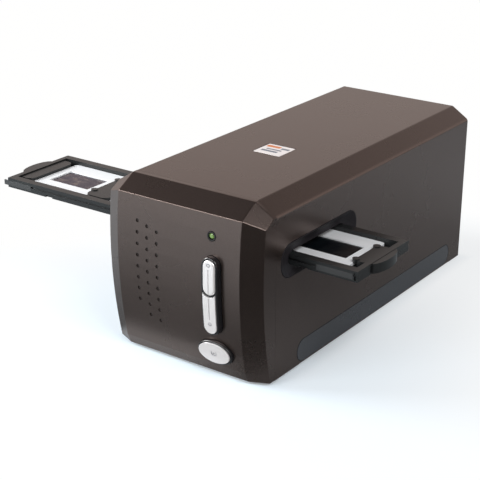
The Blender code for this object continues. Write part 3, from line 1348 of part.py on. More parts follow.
def film_holder():
    empty = axis_empty("film_holder_axis", (GATE_OFFSET, FILM_Y, HOLDER_BOTTOM_Z))
    low, high = HOLDER_BOTTOM_Z, HOLDER_TOP_Z
    floor_top = low + HOLDER_FLOOR
    inside = low + HOLDER_FLOOR / 2
    half = HOLDER_WIDTH / 2
    trough = POCKET_WIDTH / 2
    tray = box("film_holder", (HOLDER_LEFT_X, FILM_Y - half, low), (HOLDER_RIGHT_X, FILM_Y + half, high), HOLDER_GREY)
    trough_start = (HOLDER_LEFT_X + END_BAR_WIDTH, FILM_Y - trough, floor_top)
    cut(tray, box("trough", trough_start, (HOLDER_RIGHT_X - END_BAR_WIDTH, FILM_Y + trough, high + OVERRUN)))
    block_top = high - DIVIDER_DROP
    block_half = POCKET_WIDTH / 2 - DIVIDER_SLOT
    blocks = []
    for centre in frame_centres()[:-1]:
        start = centre + POCKET_WIDTH / 2
        end = centre + FRAME_PITCH - POCKET_WIDTH / 2
        outline = rounded((start, FILM_Y - block_half), (end, FILM_Y + block_half), DIVIDER_RADIUS)
        blocks.append(prism("divider", outline, "Z", inside, block_top))
    tongue = TONGUE_WIDTH / 2
    left_edge = FIRST_FRAME_X - POCKET_WIDTH / 2
    right_edge = LAST_FRAME_X + POCKET_WIDTH / 2
    left_grip = rounded((HOLDER_LEFT_X + END_BAR_WIDTH / 2, FILM_Y - block_half), (left_edge, FILM_Y + block_half), DIVIDER_RADIUS)
    right_grip = rounded((right_edge, FILM_Y - tongue), (HOLDER_RIGHT_X - END_BAR_WIDTH / 2, FILM_Y + tongue), DIVIDER_RADIUS)
    blocks.append(prism("left_grip", left_grip, "Z", inside, block_top))
    blocks.append(prism("right_grip", right_grip, "Z", inside, block_top))
    join(tray, *blocks)
    steps = ROUND_STEPS // 2
    left_tongue = arc((HOLDER_LEFT_X + OVERLAP, FILM_Y), (LEFT_TONGUE_REACH + OVERLAP, tongue), 90, 270, steps)
    right_tongue = arc((HOLDER_RIGHT_X - OVERLAP, FILM_Y), (RIGHT_TONGUE_REACH + OVERLAP, tongue), -90, 90, steps)
    tongue_low, tongue_high = low + SEAT_GAP, high - SEAT_GAP
    join(
        tray,
        prism("left_tongue", left_tongue, "Z", tongue_low, tongue_high),
        prism("right_tongue", right_tongue, "Z", tongue_low, tongue_high),
    )
    clips = []
    for centre in frame_centres():
        x = centre + POCKET_WIDTH / 2 + CLIP_RADIUS / 4
        for side in (1, -1):
            y = FILM_Y + side * CLIP_SPACING / 2
            clips.append(cylinder("clip", "Z", x, y, SLIDE_TOP_Z + SEAT_GAP, high - OVERLAP / 2, CLIP_RADIUS))
    join(tray, *clips)
    window = POCKET_WIDTH / 2 - LEDGE_WIDTH
    cuts = []
    for centre in frame_centres():
        low_corner = (centre - window, FILM_Y - window, low - OVERRUN)
        cuts.append(box("window", low_corner, (centre + window, FILM_Y + window, floor_top + OVERLAP)))
    cut(tray, *cuts)
    notches = []
    for centre in frame_centres():
        low_corner = (centre - NOTCH_LENGTH / 2, FILM_Y - half - OVERRUN, low - OVERRUN)
        notches.append(
            box("notch", low_corner, (centre + NOTCH_LENGTH / 2, FILM_Y - half + NOTCH_DEPTH, low + NOTCH_DEPTH))
        )
    groove_z = high - HOLDER_THICKNESS / 3
    for side in (1, -1):
        edge = sorted((side * (half - RAIL_GROOVE_DEPTH), side * (half + OVERRUN)))
        low_corner = (HOLDER_LEFT_X - OVERRUN, FILM_Y + edge[0], groove_z - RAIL_GROOVE_HEIGHT)
        notches.append(box("groove", low_corner, (HOLDER_RIGHT_X + OVERRUN, FILM_Y + edge[1], groove_z)))
    cut(tray, *notches)
    ride(tray, empty)
    for index, centre in enumerate(frame_centres()):
        for piece in slide(index + 1, centre):
            ride(piece, empty)


def slide(number, x):
    """A mounted slide: a white square frame round a chip of film."""
    half = SLIDE_SIZE / 2
    outline = rounded((x - half, FILM_Y - half), (x + half, FILM_Y + half), SLIDE_CORNER_RADIUS, 2)
    mount = prism(f"slide_mount_{number}", outline, "Z", SLIDE_BOTTOM_Z, SLIDE_TOP_Z, WHITE)
    half_x, half_y = SLIDE_WINDOW_WIDTH / 2, SLIDE_WINDOW_DEPTH / 2
    low, high = SLIDE_BOTTOM_Z - OVERRUN, SLIDE_TOP_Z + OVERRUN
    cut(mount, box("window", (x - half_x, FILM_Y - half_y, low), (x + half_x, FILM_Y + half_y, high)))
    middle = (SLIDE_BOTTOM_Z + SLIDE_TOP_Z) / 2
    low = (x - half_x + SEAT_GAP, FILM_Y - half_y + SEAT_GAP, middle - FILM_THICKNESS / 2)
    high = (x + half_x - SEAT_GAP, FILM_Y + half_y - SEAT_GAP, middle + FILM_THICKNESS / 2)
    return mount, box(f"film_chip_{number}", low, high, FILM)


def ribbon_cable():
    """The flat cable from the switch board, down its back and along the floor to the main board."""
    _, board_front, _ = main_board_edges()
    _, _, bottom, _ = switch_board_edges()
    thick = RIBBON_THICKNESS
    back = SWITCH_BOARD_Y + BOARD_THICKNESS + SEAT_GAP
    floor = FLOOR_TOP_Z + SEAT_GAP
    top = bottom + SWITCH_SIZE
    end = board_front - SEAT_GAP
    outline = [
        (back, top),
        (back, floor),
        (end, floor),
        (end, BOARD_TOP_Z),
        (end - thick, BOARD_TOP_Z),
        (end - thick, floor + thick),
        (back + thick, floor + thick),
        (back + thick, top),
    ]
    left = KEY_X - RIBBON_WIDTH / 2
    prism("switch_ribbon_cable", outline, "X", left, left + RIBBON_WIDTH, WHITE)


def main():
    top_cover()
    front_bezel()
    rear_panel()
    base_tray()
    feet()
    base_screws()
    scoop("right_slot_scoop", 1)
    scoop("left_slot_scoop", -1)
    keys_and_surrounds()
    switch_board()
    status_lamp()
    main_board()
    usb_socket()
    power_jack()
    ribbon_cable()
    chassis_deck()
    rod_blocks()
    film_gate()
    lamp_unit()
    carriage()
    drive()
    film_holder()


main()
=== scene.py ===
# %% [markdown]
# A desktop scanner for mounted 35 mm slides stands on a white studio floor. Its measured solids
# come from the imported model, so this lesson is about what a maker adds last: rounded edges, paint,
# moulded grain, labels and light. A solid whose shape is already right only gets a finish, and one
# that needs softer edges is copied, rounded and shown in its stead.

# %% Load the measured solids
import json
import math

import bpy
from mathutils import Matrix, Vector


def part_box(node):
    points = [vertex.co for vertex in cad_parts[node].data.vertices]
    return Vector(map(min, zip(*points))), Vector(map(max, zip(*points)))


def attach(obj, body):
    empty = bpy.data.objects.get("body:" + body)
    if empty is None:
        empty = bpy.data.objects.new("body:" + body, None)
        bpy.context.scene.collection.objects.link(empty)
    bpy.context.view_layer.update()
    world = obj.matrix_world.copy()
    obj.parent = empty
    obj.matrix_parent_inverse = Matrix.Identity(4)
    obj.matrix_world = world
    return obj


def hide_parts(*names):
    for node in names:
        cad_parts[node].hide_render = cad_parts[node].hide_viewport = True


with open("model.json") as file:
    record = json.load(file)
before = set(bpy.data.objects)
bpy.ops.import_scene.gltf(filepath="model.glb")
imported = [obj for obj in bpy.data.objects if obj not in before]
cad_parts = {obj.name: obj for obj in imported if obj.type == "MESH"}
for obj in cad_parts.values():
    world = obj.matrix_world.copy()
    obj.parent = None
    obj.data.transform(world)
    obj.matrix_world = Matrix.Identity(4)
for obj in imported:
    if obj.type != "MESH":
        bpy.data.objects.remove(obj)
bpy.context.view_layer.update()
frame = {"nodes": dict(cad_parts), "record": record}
nodes = frame["nodes"]
MM = 0.001

# %% [markdown]
# The camera comes first, because every choice of finish is judged from it. The photograph was
# taken with a long lens from the right and a little above, which keeps the casing's edges nearly
# parallel. The direction is built from two angles, and the three camera axes are written straight
# into the camera's matrix, so nothing has to be aimed by hand.


# %% Camera
def new_object(name, data):
    """Makes an object from its data. It shows only once it is linked to the scene."""
    thing = bpy.data.objects.new(name, data)
    bpy.context.scene.collection.objects.link(thing)
    return thing


VIEW_AZIMUTH = math.radians(35.59)
VIEW_HEIGHT_ANGLE = math.radians(21.94)
VIEW_ROLL = math.radians(0.18)
VIEW_PLACE = Vector((0.4507, -0.6989, 0.3791))
LENS_LENGTH = 95.45


def add_camera():
    back = Vector((
        math.sin(VIEW_AZIMUTH) * math.cos(VIEW_HEIGHT_ANGLE),
        -math.cos(VIEW_AZIMUTH) * math.cos(VIEW_HEIGHT_ANGLE),
        math.sin(VIEW_HEIGHT_ANGLE),
    ))
    right = Vector((math.cos(VIEW_AZIMUTH), math.sin(VIEW_AZIMUTH), 0))
    axes = Matrix((right, back.cross(right), back)).transposed()
    data = bpy.data.cameras.new("studio_camera")
    data.lens = LENS_LENGTH
    data.clip_end = 20
    camera = new_object("studio_camera", data)
    turned = axes @ Matrix.Rotation(VIEW_ROLL, 3, "Z")
    camera.matrix_world = Matrix.Translation(VIEW_PLACE) @ turned.to_4x4()
    bpy.context.scene.camera = camera


add_camera()
bpy.context.scene.view_settings.view_transform = "Standard"
print("camera distance in mm:", round(VIEW_PLACE.length / MM))

# %% [markdown]
# A few helpers keep the later cells short. Operators act on whatever is selected, so `pick` clears
# the selection first. `settle` moves a piece's place into its mesh, because finished pieces sit at
# the origin.


# %% Selecting, settling and shading
def pick(piece):
    bpy.ops.object.select_all(action="DESELECT")
    piece.select_set(True)
    bpy.context.view_layer.objects.active = piece


def set_mode(name):
    bpy.ops.object.mode_set(mode=name)


def settle(piece):
    pick(piece)
    bpy.ops.object.transform_apply(location=True, rotation=True, scale=True)


def apply_modifiers(piece):
    pick(piece)
    for modifier in list(piece.modifiers):
        bpy.ops.object.modifier_apply(modifier=modifier.name)


def soften(piece, degrees=35):
    """Smooth shading up to an angle. The large flat faces keep their own normals and stay flat."""
    pick(piece)
    bpy.ops.object.shade_smooth_by_angle(angle=math.radians(degrees))
    bpy.ops.object.modifier_add(type="WEIGHTED_NORMAL")
    piece.modifiers[-1].keep_sharp = True
    apply_modifiers(piece)


print("selecting and shading ready")

# %% [markdown]
# `choose_edges` selects edges by a test on their two ends and on how sharply their two faces meet,
# which is how an edge is picked without a mouse. `round_edges` then bevels them.


# %% Rounding edges
def choose_nothing(piece, kind):
    """Leaves a piece ready for a choice of its vertices, edges or faces, with none selected."""
    pick(piece)
    set_mode("EDIT")
    bpy.ops.mesh.select_mode(type=kind)
    bpy.ops.mesh.select_all(action="DESELECT")
    set_mode("OBJECT")


def outward_bend(edge, mesh, faces_of_edge):
    """The angle between an edge's two faces, or nothing where they meet in an inner corner."""
    pair = faces_of_edge.get(edge.key, ())
    if len(pair) != 2:
        return 0
    first, second = (mesh.polygons[index] for index in pair)
    middle = sum((mesh.vertices[index].co for index in edge.vertices), Vector()) / 2
    if (second.center - middle).dot(first.normal) > 0:
        return 0
    return first.normal.angle(second.normal, 0)


def choose_edges(piece, wanted, least_bend=25):
    """Selects the outer edges that bend by so many degrees and pass the test on their two ends."""
    mesh = piece.data
    faces_of_edge = {}
    for polygon in mesh.polygons:
        for key in polygon.edge_keys:
            faces_of_edge.setdefault(key, []).append(polygon.index)
    count = 0
    for edge in mesh.edges:
        first, second = (mesh.vertices[index].co for index in edge.vertices)
        bend = outward_bend(edge, mesh, faces_of_edge)
        edge.select = bend >= math.radians(least_bend) and wanted(first, second)
        count += edge.select
    return count


def round_edges(piece, radius, wanted, segments=3, least_bend=25):
    """Rounds the chosen edges with the bevel operator, as by hand in edit mode."""
    choose_nothing(piece, "EDGE")
    count = choose_edges(piece, wanted, least_bend)
    set_mode("EDIT")
    bpy.ops.mesh.bevel(offset=radius, segments=segments, affect="EDGES", clamp_overlap=True)
    set_mode("OBJECT")
    return count


print("rounding ready")

# %% [markdown]
# Most solids need no new form, only softer edges. `copy_solid` copies a solid's mesh, merges its
# loose triangles and dissolves the flat ones, so that each flat side is one face again. Only then
# can the bevel operator run along a whole edge.

# %% Copying a solid
TOUCHING = 0.01 * MM
FLAT_WITHIN = math.radians(0.4)


def copy_solid(node, name):
    piece = new_object(name, nodes[node].data.copy())
    piece.data.materials.clear()
    pick(piece)
    if piece.data.has_custom_normals:
        bpy.ops.mesh.customdata_custom_splitnormals_clear()
    set_mode("EDIT")
    bpy.ops.mesh.select_all(action="SELECT")
    bpy.ops.mesh.remove_doubles(threshold=TOUCHING)
    bpy.ops.mesh.dissolve_limited(angle_limit=FLAT_WITHIN)
    set_mode("OBJECT")
    return piece


def finish_piece(piece, finish, body, slot, *stands_for):
    """Gives a finished piece its material and its body, and hides the solids it stands for. Its slot is not
    used.
    """
    piece.data.materials.clear()
    piece.data.materials.append(finish)
    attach(piece, body)
    if stands_for:
        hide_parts(*stands_for)
    return piece


print("copying ready")

# %% [markdown]
# Every shader tree below is wired with a few small helpers. `add_node` makes a node and fills its
# inputs by name, and `fill` fills them in order. Either takes a plain value or the output of another
# node.


# %% Nodes
def connect(tree, socket, value):
    if isinstance(value, bpy.types.NodeSocket):
        tree.links.new(value, socket)
    else:
        socket.default_value = value


def add_node(tree, kind, **inputs):
    """Adds a shader node. Each input goes by its name, with _ in place of a space."""
    node = tree.nodes.new("ShaderNode" + kind)
    for label, value in inputs.items():
        connect(tree, node.inputs[label.replace("_", " ")], value)
    return node


def fill(tree, node, *values):
    """Fills the inputs in use and gives the node's output."""
    for socket, value in zip([socket for socket in node.inputs if socket.enabled], values):
        connect(tree, socket, value)
    return next(socket for socket in node.outputs if socket.enabled)


def maths(tree, operation, *values, kind="Math"):
    node = add_node(tree, kind)
    node.operation = operation
    return fill(tree, node, *values)


print("node helpers ready")

# %% [markdown]
# The next helpers blend values, colours and shaders, and turn a value into another value or a colour.


# %% Blends and ramps
def mixed(tree, kind, *values):
    """Blends two values, or two colours where the kind is RGBA. The factor comes first."""
    mix = add_node(tree, "Mix")
    mix.data_type = kind
    return fill(tree, mix, *values)


def mixed_shaders(tree, factor, first, second):
    return fill(tree, add_node(tree, "MixShader"), factor, first.outputs[0], second.outputs[0])


def object_place(tree):
    return add_node(tree, "TexCoord").outputs["Object"]


def ranged(tree, source, *ends, shape="SMOOTHSTEP"):
    """Maps a value from between the first two ends to between the last two, as a smooth step."""
    node = add_node(tree, "MapRange")
    node.interpolation_type = shape
    return fill(tree, node, source, *ends)


def add_ramp(tree, factor, *stops):
    """A colour ramp from its stops, each a position and a colour."""
    node = add_node(tree, "ValToRGB", Fac=factor)
    elements = node.color_ramp.elements
    elements[0].position, elements[1].position = stops[0][0], stops[-1][0]
    for position, _ in stops[1:-1]:
        elements.new(position)
    for element, (_, colour) in zip(elements, stops):
        element.color = (*colour, 1)
    return node.outputs["Color"]


print("blends and ramps ready")

# %% [markdown]
# The studio is plain: a white floor that runs out of view, a pale world, and three soft lamps. To
# the camera the floor is mostly a white glow with the real shadow mixed in. The glow's share grows
# away from the casing and towards its rear, which paints the shadow fainter there.
#
# The satin paint mirrors the floor, so in reflections the floor is a graded card of painted
# reflection, which puts the darker and paler bands on the casing. At the left and in front it is dim
# near the casing, but for a pale strip at its foot that paints a highlight along the front's lower
# edge, and paler further out. At the right it is the other way round, and paler again towards the
# back. Each ramp below is where it starts and ends, in metres, and its values there.

# %% Floor tones
FLOOR_SIZE = 6
PAPER_WHITE = (1, 0.998, 0.994, 1)
SHADOW_TINT = (0.84, 1.0, 1.12, 1)
FLOOR_TONE = (0.8, 0.8, 0.8, 1)
HALF_FOOTPRINT = (60 * MM, 136 * MM)
CARD_TINT = (0.88, 1.0, 1.07)
# The glow ramps paint light over the floor's shadow, more so away from the casing and towards its rear.
GLOW_ALONG = (-100 * MM, 120 * MM, 0.2, 0.58)
GLOW_NEAR = (0, 12 * MM, 0, 0.15)
GLOW_FAR = (10 * MM, 200 * MM, 0, 0.62)
# These ramps paint the reflections on the casing; LEFT_FOOT paints a pale highlight along the front's lower
# edge.
LEFT_TONE = (0, 190 * MM, 0.2, 0.46)
LEFT_FOOT = (2 * MM, 16 * MM, 0.5, 0)
RIGHT_TONE = (0, 150 * MM, 0.46, 0.1)
RIGHT_CORNER = (-160 * MM, -80 * MM, 0.12, 1)
REAR_TONE = (0, 220 * MM, 0, 0.34)
REAR_SPREAD = (0, 150 * MM, 0.4, 1.35)
LEFT_TO_RIGHT = (-10 * MM, 55 * MM, 0, 1)


def floor_places(tree):
    """The place on the floor along X and Y, and its gap from the casing's footprint."""
    split = add_node(tree, "SeparateXYZ", Vector=object_place(tree))
    gaps = []
    for axis, half in zip(("X", "Y"), HALF_FOOTPRINT):
        size = maths(tree, "ABSOLUTE", split.outputs[axis])
        gaps.append(maths(tree, "SUBTRACT", size, half))
    return split.outputs["X"], split.outputs["Y"], maths(tree, "MAXIMUM", *gaps)


def painted_reflection_card(tree, across, along, gap):
    """The painted reflection: the colour that reflected rays see at each place on the floor."""
    left = maths(tree, "ADD", ranged(tree, gap, *LEFT_TONE), ranged(tree, gap, *LEFT_FOOT))
    right = maths(tree, "MULTIPLY", ranged(tree, gap, *RIGHT_TONE), ranged(tree, along, *RIGHT_CORNER))
    rear = maths(tree, "MULTIPLY", ranged(tree, along, *REAR_TONE), ranged(tree, gap, *REAR_SPREAD))
    right = maths(tree, "ADD", right, rear)
    tone = mixed(tree, "FLOAT", ranged(tree, across, *LEFT_TO_RIGHT), left, right)
    return maths(tree, "SCALE", CARD_TINT, tone, kind="VectorMath")


def glow_share(tree, along, gap):
    """How much of the floor is white glow to the camera, painted over the real shadow; the rest shows that
    shadow.
    """
    share = maths(tree, "ADD", ranged(tree, along, *GLOW_ALONG), ranged(tree, gap, *GLOW_NEAR))
    share = maths(tree, "ADD", share, ranged(tree, gap, *GLOW_FAR))
    return maths(tree, "MINIMUM", share, 1)


print("floor tones ready")

# %% [markdown]
# The floor itself is one large plane. Its shader asks which kind of ray has come: the camera's rays
# meet the glow, reflected ones meet the card of painted reflection, and all others meet plain pale
# paper.


# %% Floor
def add_floor():
    bpy.ops.mesh.primitive_plane_add(size=FLOOR_SIZE)
    floor = bpy.context.object
    floor.name = "studio_floor"
    paper = bpy.data.materials.new("studio_paper")
    paper.use_nodes = True
    tree = paper.node_tree
    tree.nodes.clear()
    ray = add_node(tree, "LightPath").outputs
    across, along, gap = floor_places(tree)
    colour = mixed(tree, "RGBA", ray["Is Glossy Ray"], FLOOR_TONE, painted_reflection_card(tree, across, along, gap))
    colour = mixed(tree, "RGBA", ray["Is Camera Ray"], colour, SHADOW_TINT)
    diffuse = add_node(tree, "BsdfDiffuse", Color=colour)
    glow = add_node(tree, "Emission", Color=PAPER_WHITE)
    share = maths(tree, "MULTIPLY", ray["Is Camera Ray"], glow_share(tree, along, gap))
    add_node(tree, "OutputMaterial", Surface=mixed_shaders(tree, share, diffuse, glow))
    floor.data.materials.append(paper)


add_floor()
print("floor size in m:", FLOOR_SIZE)

# %% [markdown]
# The world is what the satin paint reflects above the floor. It is bright and a little warm near
# the horizon, like the walls of a studio, and dim overhead, which is why the sloping edge along the
# casing's front comes out darker than the flat top behind it. One corner of the room, in front and
# to the right, is dark, and that makes the right slope of the front moulding nearly black. Only rays
# that leave the camera see plain white.

# %% World
WALL_LIGHT = (0.7, 0.61, 0.57)
CEILING_LIGHT = (0.055, 0.046, 0.046)
WALL_TOP, CEILING_START = 0.35, 0.8
DARK_CORNER = (0.45, -0.89, 0)
DARK_RAMP = (0.72, 0.97, 1, 0.12)


def add_world():
    world = bpy.data.worlds.new("studio_world")
    bpy.context.scene.world = world
    world.use_nodes = True
    tree = world.node_tree
    tree.nodes.clear()
    toward = add_node(tree, "TexCoord").outputs["Generated"]
    height = add_node(tree, "SeparateXYZ", Vector=toward).outputs["Z"]
    ramp = add_ramp(tree, height, (WALL_TOP, WALL_LIGHT), (CEILING_START, CEILING_LIGHT))
    corner = maths(tree, "DOT_PRODUCT", toward, DARK_CORNER, kind="VectorMath")
    level = ranged(tree, corner, *DARK_RAMP)
    room = add_node(tree, "Background", Color=ramp, Strength=level)
    white = add_node(tree, "Background", Color=PAPER_WHITE)
    ray = add_node(tree, "LightPath").outputs["Is Camera Ray"]
    add_node(tree, "OutputWorld", Surface=mixed_shaders(tree, ray, room, white))


add_world()
print("world colours:", WALL_LIGHT, CEILING_LIGHT)

# %% [markdown]
# Each lamp is a soft square, aimed at the middle of the casing. The main one stands at the left, so
# the casing's right side and the floor beside it are in shade. A lamp's power is worked out from the
# brightness wanted at the scanner, so that it can move without a new guess at its watts.

# %% Lamps
LAMP_AIM = Vector((0, 0, 60 * MM))


def add_lamp(name, direction, distance, size, brightness):
    """A square lamp that gives a white surface facing it this brightness."""
    direction = Vector(direction).normalized()
    data = bpy.data.lights.new(name, "AREA")
    data.size = size
    data.energy = brightness * math.pi**2 * distance**2
    lamp = new_object(name, data)
    lamp.location = LAMP_AIM + direction * distance
    lamp.rotation_euler = direction.to_track_quat("Z", "Y").to_euler()


add_lamp("main_lamp", (-0.84, -0.42, 0.4), 1.6, 0.7, 1.00)
add_lamp("front_lamp", (-0.3, -0.9, 0.42), 2.0, 1.0, 0.5)
add_lamp("fill_lamp", (0.62, -0.3, 0.72), 1.8, 0.8, 0.48)
print("lamps:", len(bpy.data.lights))

# %% [markdown]
# Three shader groups carry the effects that several finishes share. `satin_fleck` is the fine
# sparkle of metallic paint: tiny cells that are each a little lighter or darker. `moulded_grain`
# is the spark-eroded texture of a plastic moulding. `soft_cloud` is a slow drift over the whole
# piece, for handling and dust, so that no large side is one dead value.


# %% A helper for shader groups
def new_group(name, inputs, outputs):
    group = bpy.data.node_groups.new(name, "ShaderNodeTree")
    for labels, way in ((inputs, "INPUT"), (outputs, "OUTPUT")):
        for label in labels:
            group.interface.new_socket(label, in_out=way, socket_type="NodeSocketFloat")
    return group, group.nodes.new("NodeGroupInput").outputs, group.nodes.new("NodeGroupOutput").inputs


print("group helper ready")

# %% [markdown]
# The fleck is a Voronoi pattern, because each of its cells has one colour of its own. A slow noise
# adds the drift, and a fine noise gives the height, since the steps between cells would look sharp.


# %% Satin fleck
def make_satin_fleck():
    inputs = ("Cells per metre", "Darkest", "Lightest", "Drift")
    group, inside, outside = new_group("satin_fleck", inputs, ("Tone", "Height"))
    place, scale = object_place(group), inside["Cells per metre"]
    cells = add_node(group, "TexVoronoi", Vector=place, Scale=scale)
    relief = add_node(group, "TexNoise", Vector=place, Scale=scale, Detail=1)
    cloud = add_node(group, "TexNoise", Vector=place, Scale=14, Detail=3)
    split = add_node(group, "SeparateColor", Color=cells.outputs["Color"])
    fleck = ranged(group, split.outputs[0], 0, 1, inside["Darkest"], inside["Lightest"], shape="LINEAR")
    drift = maths(group, "MULTIPLY_ADD", cloud.outputs["Fac"], inside["Drift"], fleck)
    group.links.new(drift, outside["Tone"])
    group.links.new(relief.outputs["Fac"], outside["Height"])
    return group


SATIN_FLECK = make_satin_fleck()
print("made", SATIN_FLECK.name)

# %% [markdown]
# The other two groups are one noise each, spread between two values. The grain also hands on the
# noise itself as its height.


# %% Moulded grain and soft cloud
def make_noise_group(name, inputs, outputs, detail, roughness):
    """A noise. Its inputs are the scale and the values at the low and the high end of the noise."""
    group, inside, outside = new_group(name, inputs, outputs)
    noise = add_node(
        group, "TexNoise", Vector=object_place(group), Scale=inside[0], Detail=detail, Roughness=roughness,
    ).outputs["Fac"]
    group.links.new(ranged(group, noise, 0, 1, inside[1], inside[2], shape="LINEAR"), outside[0])
    if "Height" in outputs:
        group.links.new(noise, outside["Height"])
    return group


MOULDED_GRAIN = make_noise_group(
    "moulded_grain", ("Grains per metre", "Darkest", "Lightest"), ("Tone", "Height"), 4, 0.6,
)
SOFT_CLOUD = make_noise_group("soft_cloud", ("Patches per metre", "Low", "High"), ("Value",), 5, 0.55)
print("made", MOULDED_GRAIN.name, SOFT_CLOUD.name)

# %% [markdown]
# Every finish is a Principled shader with the groups above plugged in. The tone from a group
# multiplies the base colour, the cloud moves the roughness a little, and the height feeds a bump.
# A value that is the same all over, such as `Metallic`, stays on the shader's own socket.


# %% A helper for finishes
def place_group(tree, group, *values):
    node = add_node(tree, "Group")
    node.node_tree = group
    fill(tree, node, *values)
    return node.outputs


def new_finish(name, colour, rough=(0.35, 0.45), patches=25, **constants):
    """A shader with a cloudy roughness. Its other constant sockets go by name."""
    finish = bpy.data.materials.new(name)
    finish.use_nodes = True
    finish.diffuse_color = (*colour, 1)
    tree = finish.node_tree
    shader = tree.nodes["Principled BSDF"]
    shader.inputs["Base Color"].default_value = (*colour, 1)
    for label, value in constants.items():
        shader.inputs[label.replace("_", " ")].default_value = value
    tree.links.new(place_group(tree, SOFT_CLOUD, patches, *rough)["Value"], shader.inputs["Roughness"])
    return finish


def set_base(finish, colour):
    finish.node_tree.links.new(colour, finish.node_tree.nodes["Principled BSDF"].inputs["Base Color"])


def add_bump(finish, height, depth):
    """A fine relief of this depth, in metres."""
    tree = finish.node_tree
    bump = add_node(tree, "Bump", Distance=depth, Height=height)
    tree.links.new(bump.outputs[0], tree.nodes["Principled BSDF"].inputs["Normal"])


print("finish helper ready")

# %% [markdown]
# The two common kinds of finish are painted, with the fleck, and moulded, with the grain.


# %% Flecked and moulded finishes
def grouped_finish(name, colour, depth, group, values, others):
    """A finish whose base colour is multiplied by a group's tone and whose bump is its height."""
    finish = new_finish(name, colour, **others)
    tree = finish.node_tree
    outputs = place_group(tree, group, *values)
    set_base(finish, maths(tree, "SCALE", colour, outputs["Tone"], kind="VectorMath"))
    add_bump(finish, outputs["Height"], depth)
    return finish


def flecked(name, colour, depth, cells=2600, spread=0.04, drift=0.05, **others):
    values = (cells, 1 - spread, 1 + spread, drift)
    return grouped_finish(name, colour, depth, SATIN_FLECK, values, others)


def moulded(name, colour, depth, grains=1500, spread=0.06, **others):
    return grouped_finish(name, colour, depth, MOULDED_GRAIN, (grains, 1 - spread, 1 + spread), others)


print("kinds of finish: 2")

# %% [markdown]
# The casing is painted a dark brown with fine metal flakes. Most of what it shows is a blurred
# reflection of the room, so it is mostly metallic, with a roughness that blurs the walls into
# smooth gradients. The flakes are too fine to see one by one from the camera, and only give the
# gradients a slight grit. The rear panel is bare plastic, and the base has a slight coat of gloss.

# %% Casing paint
CASING_PAINT = flecked(
    "casing_paint", (0.15, 0.118, 0.107), 0.001 * MM, spread=0.06,
    Metallic=0.93, rough=(0.25, 0.3), patches=12,
)
REAR_PLASTIC = moulded("rear_plastic", (0.05, 0.043, 0.04), 0.03 * MM, rough=(0.45, 0.55))
BASE_PLASTIC = moulded(
    "base_plastic", (0.034, 0.037, 0.045), 0.01 * MM, rough=(0.22, 0.3),
    Coat_Weight=0.5, Coat_Roughness=0.25,
)
print("casing finishes:", CASING_PAINT.name, REAR_PLASTIC.name, BASE_PLASTIC.name)

# %% [markdown]
# The dark parts differ mainly in gloss. The surround of the keys is polished, the film holder is
# satin, the scoops round the film slots are nearly matt, and the inner mouldings are plain black.

# %% Dark plastics
POLISHED_BLACK = moulded(
    "polished_black", (0.012, 0.012, 0.014), 0.003 * MM, grains=400, rough=(0.2, 0.26),
    Coat_Weight=0.3, Coat_Roughness=0.15,
)
SCOOP_BLACK = moulded(
    "scoop_black", (0.017, 0.016, 0.019), 0.003 * MM, grains=600, rough=(0.5, 0.56),
    Specular_IOR_Level=0.15,
)
HOLDER_PLASTIC = moulded(
    "holder_plastic", (0.016, 0.018, 0.019), 0.006 * MM, grains=1800, rough=(0.24, 0.32),
    Specular_IOR_Level=0.4,
)
INNER_BLACK = moulded("inner_black", (0.012, 0.012, 0.013), 0.02 * MM, rough=(0.4, 0.5))
FOOT_RUBBER = moulded("foot_rubber", (0.02, 0.02, 0.02), 0.05 * MM, grains=1800, rough=(0.75, 0.85))
print("dark finishes: 5")

# %% [markdown]
# The keys are silver paint over plastic, with a finer and lighter fleck than the casing. The slide
# mounts are plain white polystyrene. The ribbon, the diffuser and the lamp's board are pale as well.

# %% Light plastics
KEY_SILVER = flecked(
    "key_silver", (0.79, 0.79, 0.8), 0.0005 * MM, cells=5200, spread=0.02, drift=0.02,
    Metallic=0.45, rough=(0.18, 0.24),
)
MOUNT_WHITE = moulded(
    "mount_white", (0.86, 0.9, 0.93), 0.008 * MM, grains=900, spread=0.02, rough=(0.45, 0.55),
)
RIBBON_GREY = moulded("ribbon_grey", (0.6, 0.61, 0.62), 0.01 * MM, rough=(0.4, 0.5))
OPAL_SHEET = moulded("opal_sheet", (0.85, 0.85, 0.83), 0.004 * MM, Subsurface_Weight=0.2)
WHITE_LACQUER = moulded("white_lacquer", (0.8, 0.82, 0.84), 0.006 * MM, rough=(0.25, 0.35))
print("light finishes: 5")

# %% [markdown]
# The metals inside are ground steel and cast alloy, and a cast piece is greyer and rougher than a
# ground rod. The mirror is silvered and as smooth as a shader goes, and the lens is clear glass.

# %% Metals and glass
GROUND_STEEL = flecked(
    "ground_steel", (0.56, 0.57, 0.58), 0.001 * MM, cells=3000, Metallic=1, rough=(0.2, 0.3),
)
CAST_ALLOY = moulded(
    "cast_alloy", (0.45, 0.46, 0.47), 0.03 * MM, grains=900, Metallic=1, rough=(0.38, 0.5),
)
SILVERED = new_finish("silvered_glass", (0.8, 0.82, 0.83), rough=(0.02, 0.04), Metallic=1)
LENS_GLASS = new_finish(
    "lens_glass", (0.9, 0.95, 0.97), rough=(0.01, 0.03), Transmission_Weight=1.0, IOR=1.5,
)
print("metals and glass: 4")

# %% [markdown]
# A circuit board is green lacquer over copper. The copper tracks show through as lighter lines, so
# a pattern of slightly bent stripes lightens the green in places. Square cells give the relief.

# %% Board lacquer
BOARD_GREEN, TRACK_GREEN = (0.02, 0.14, 0.06), (0.05, 0.24, 0.09)
TRACK_SHARE_START = 0.72


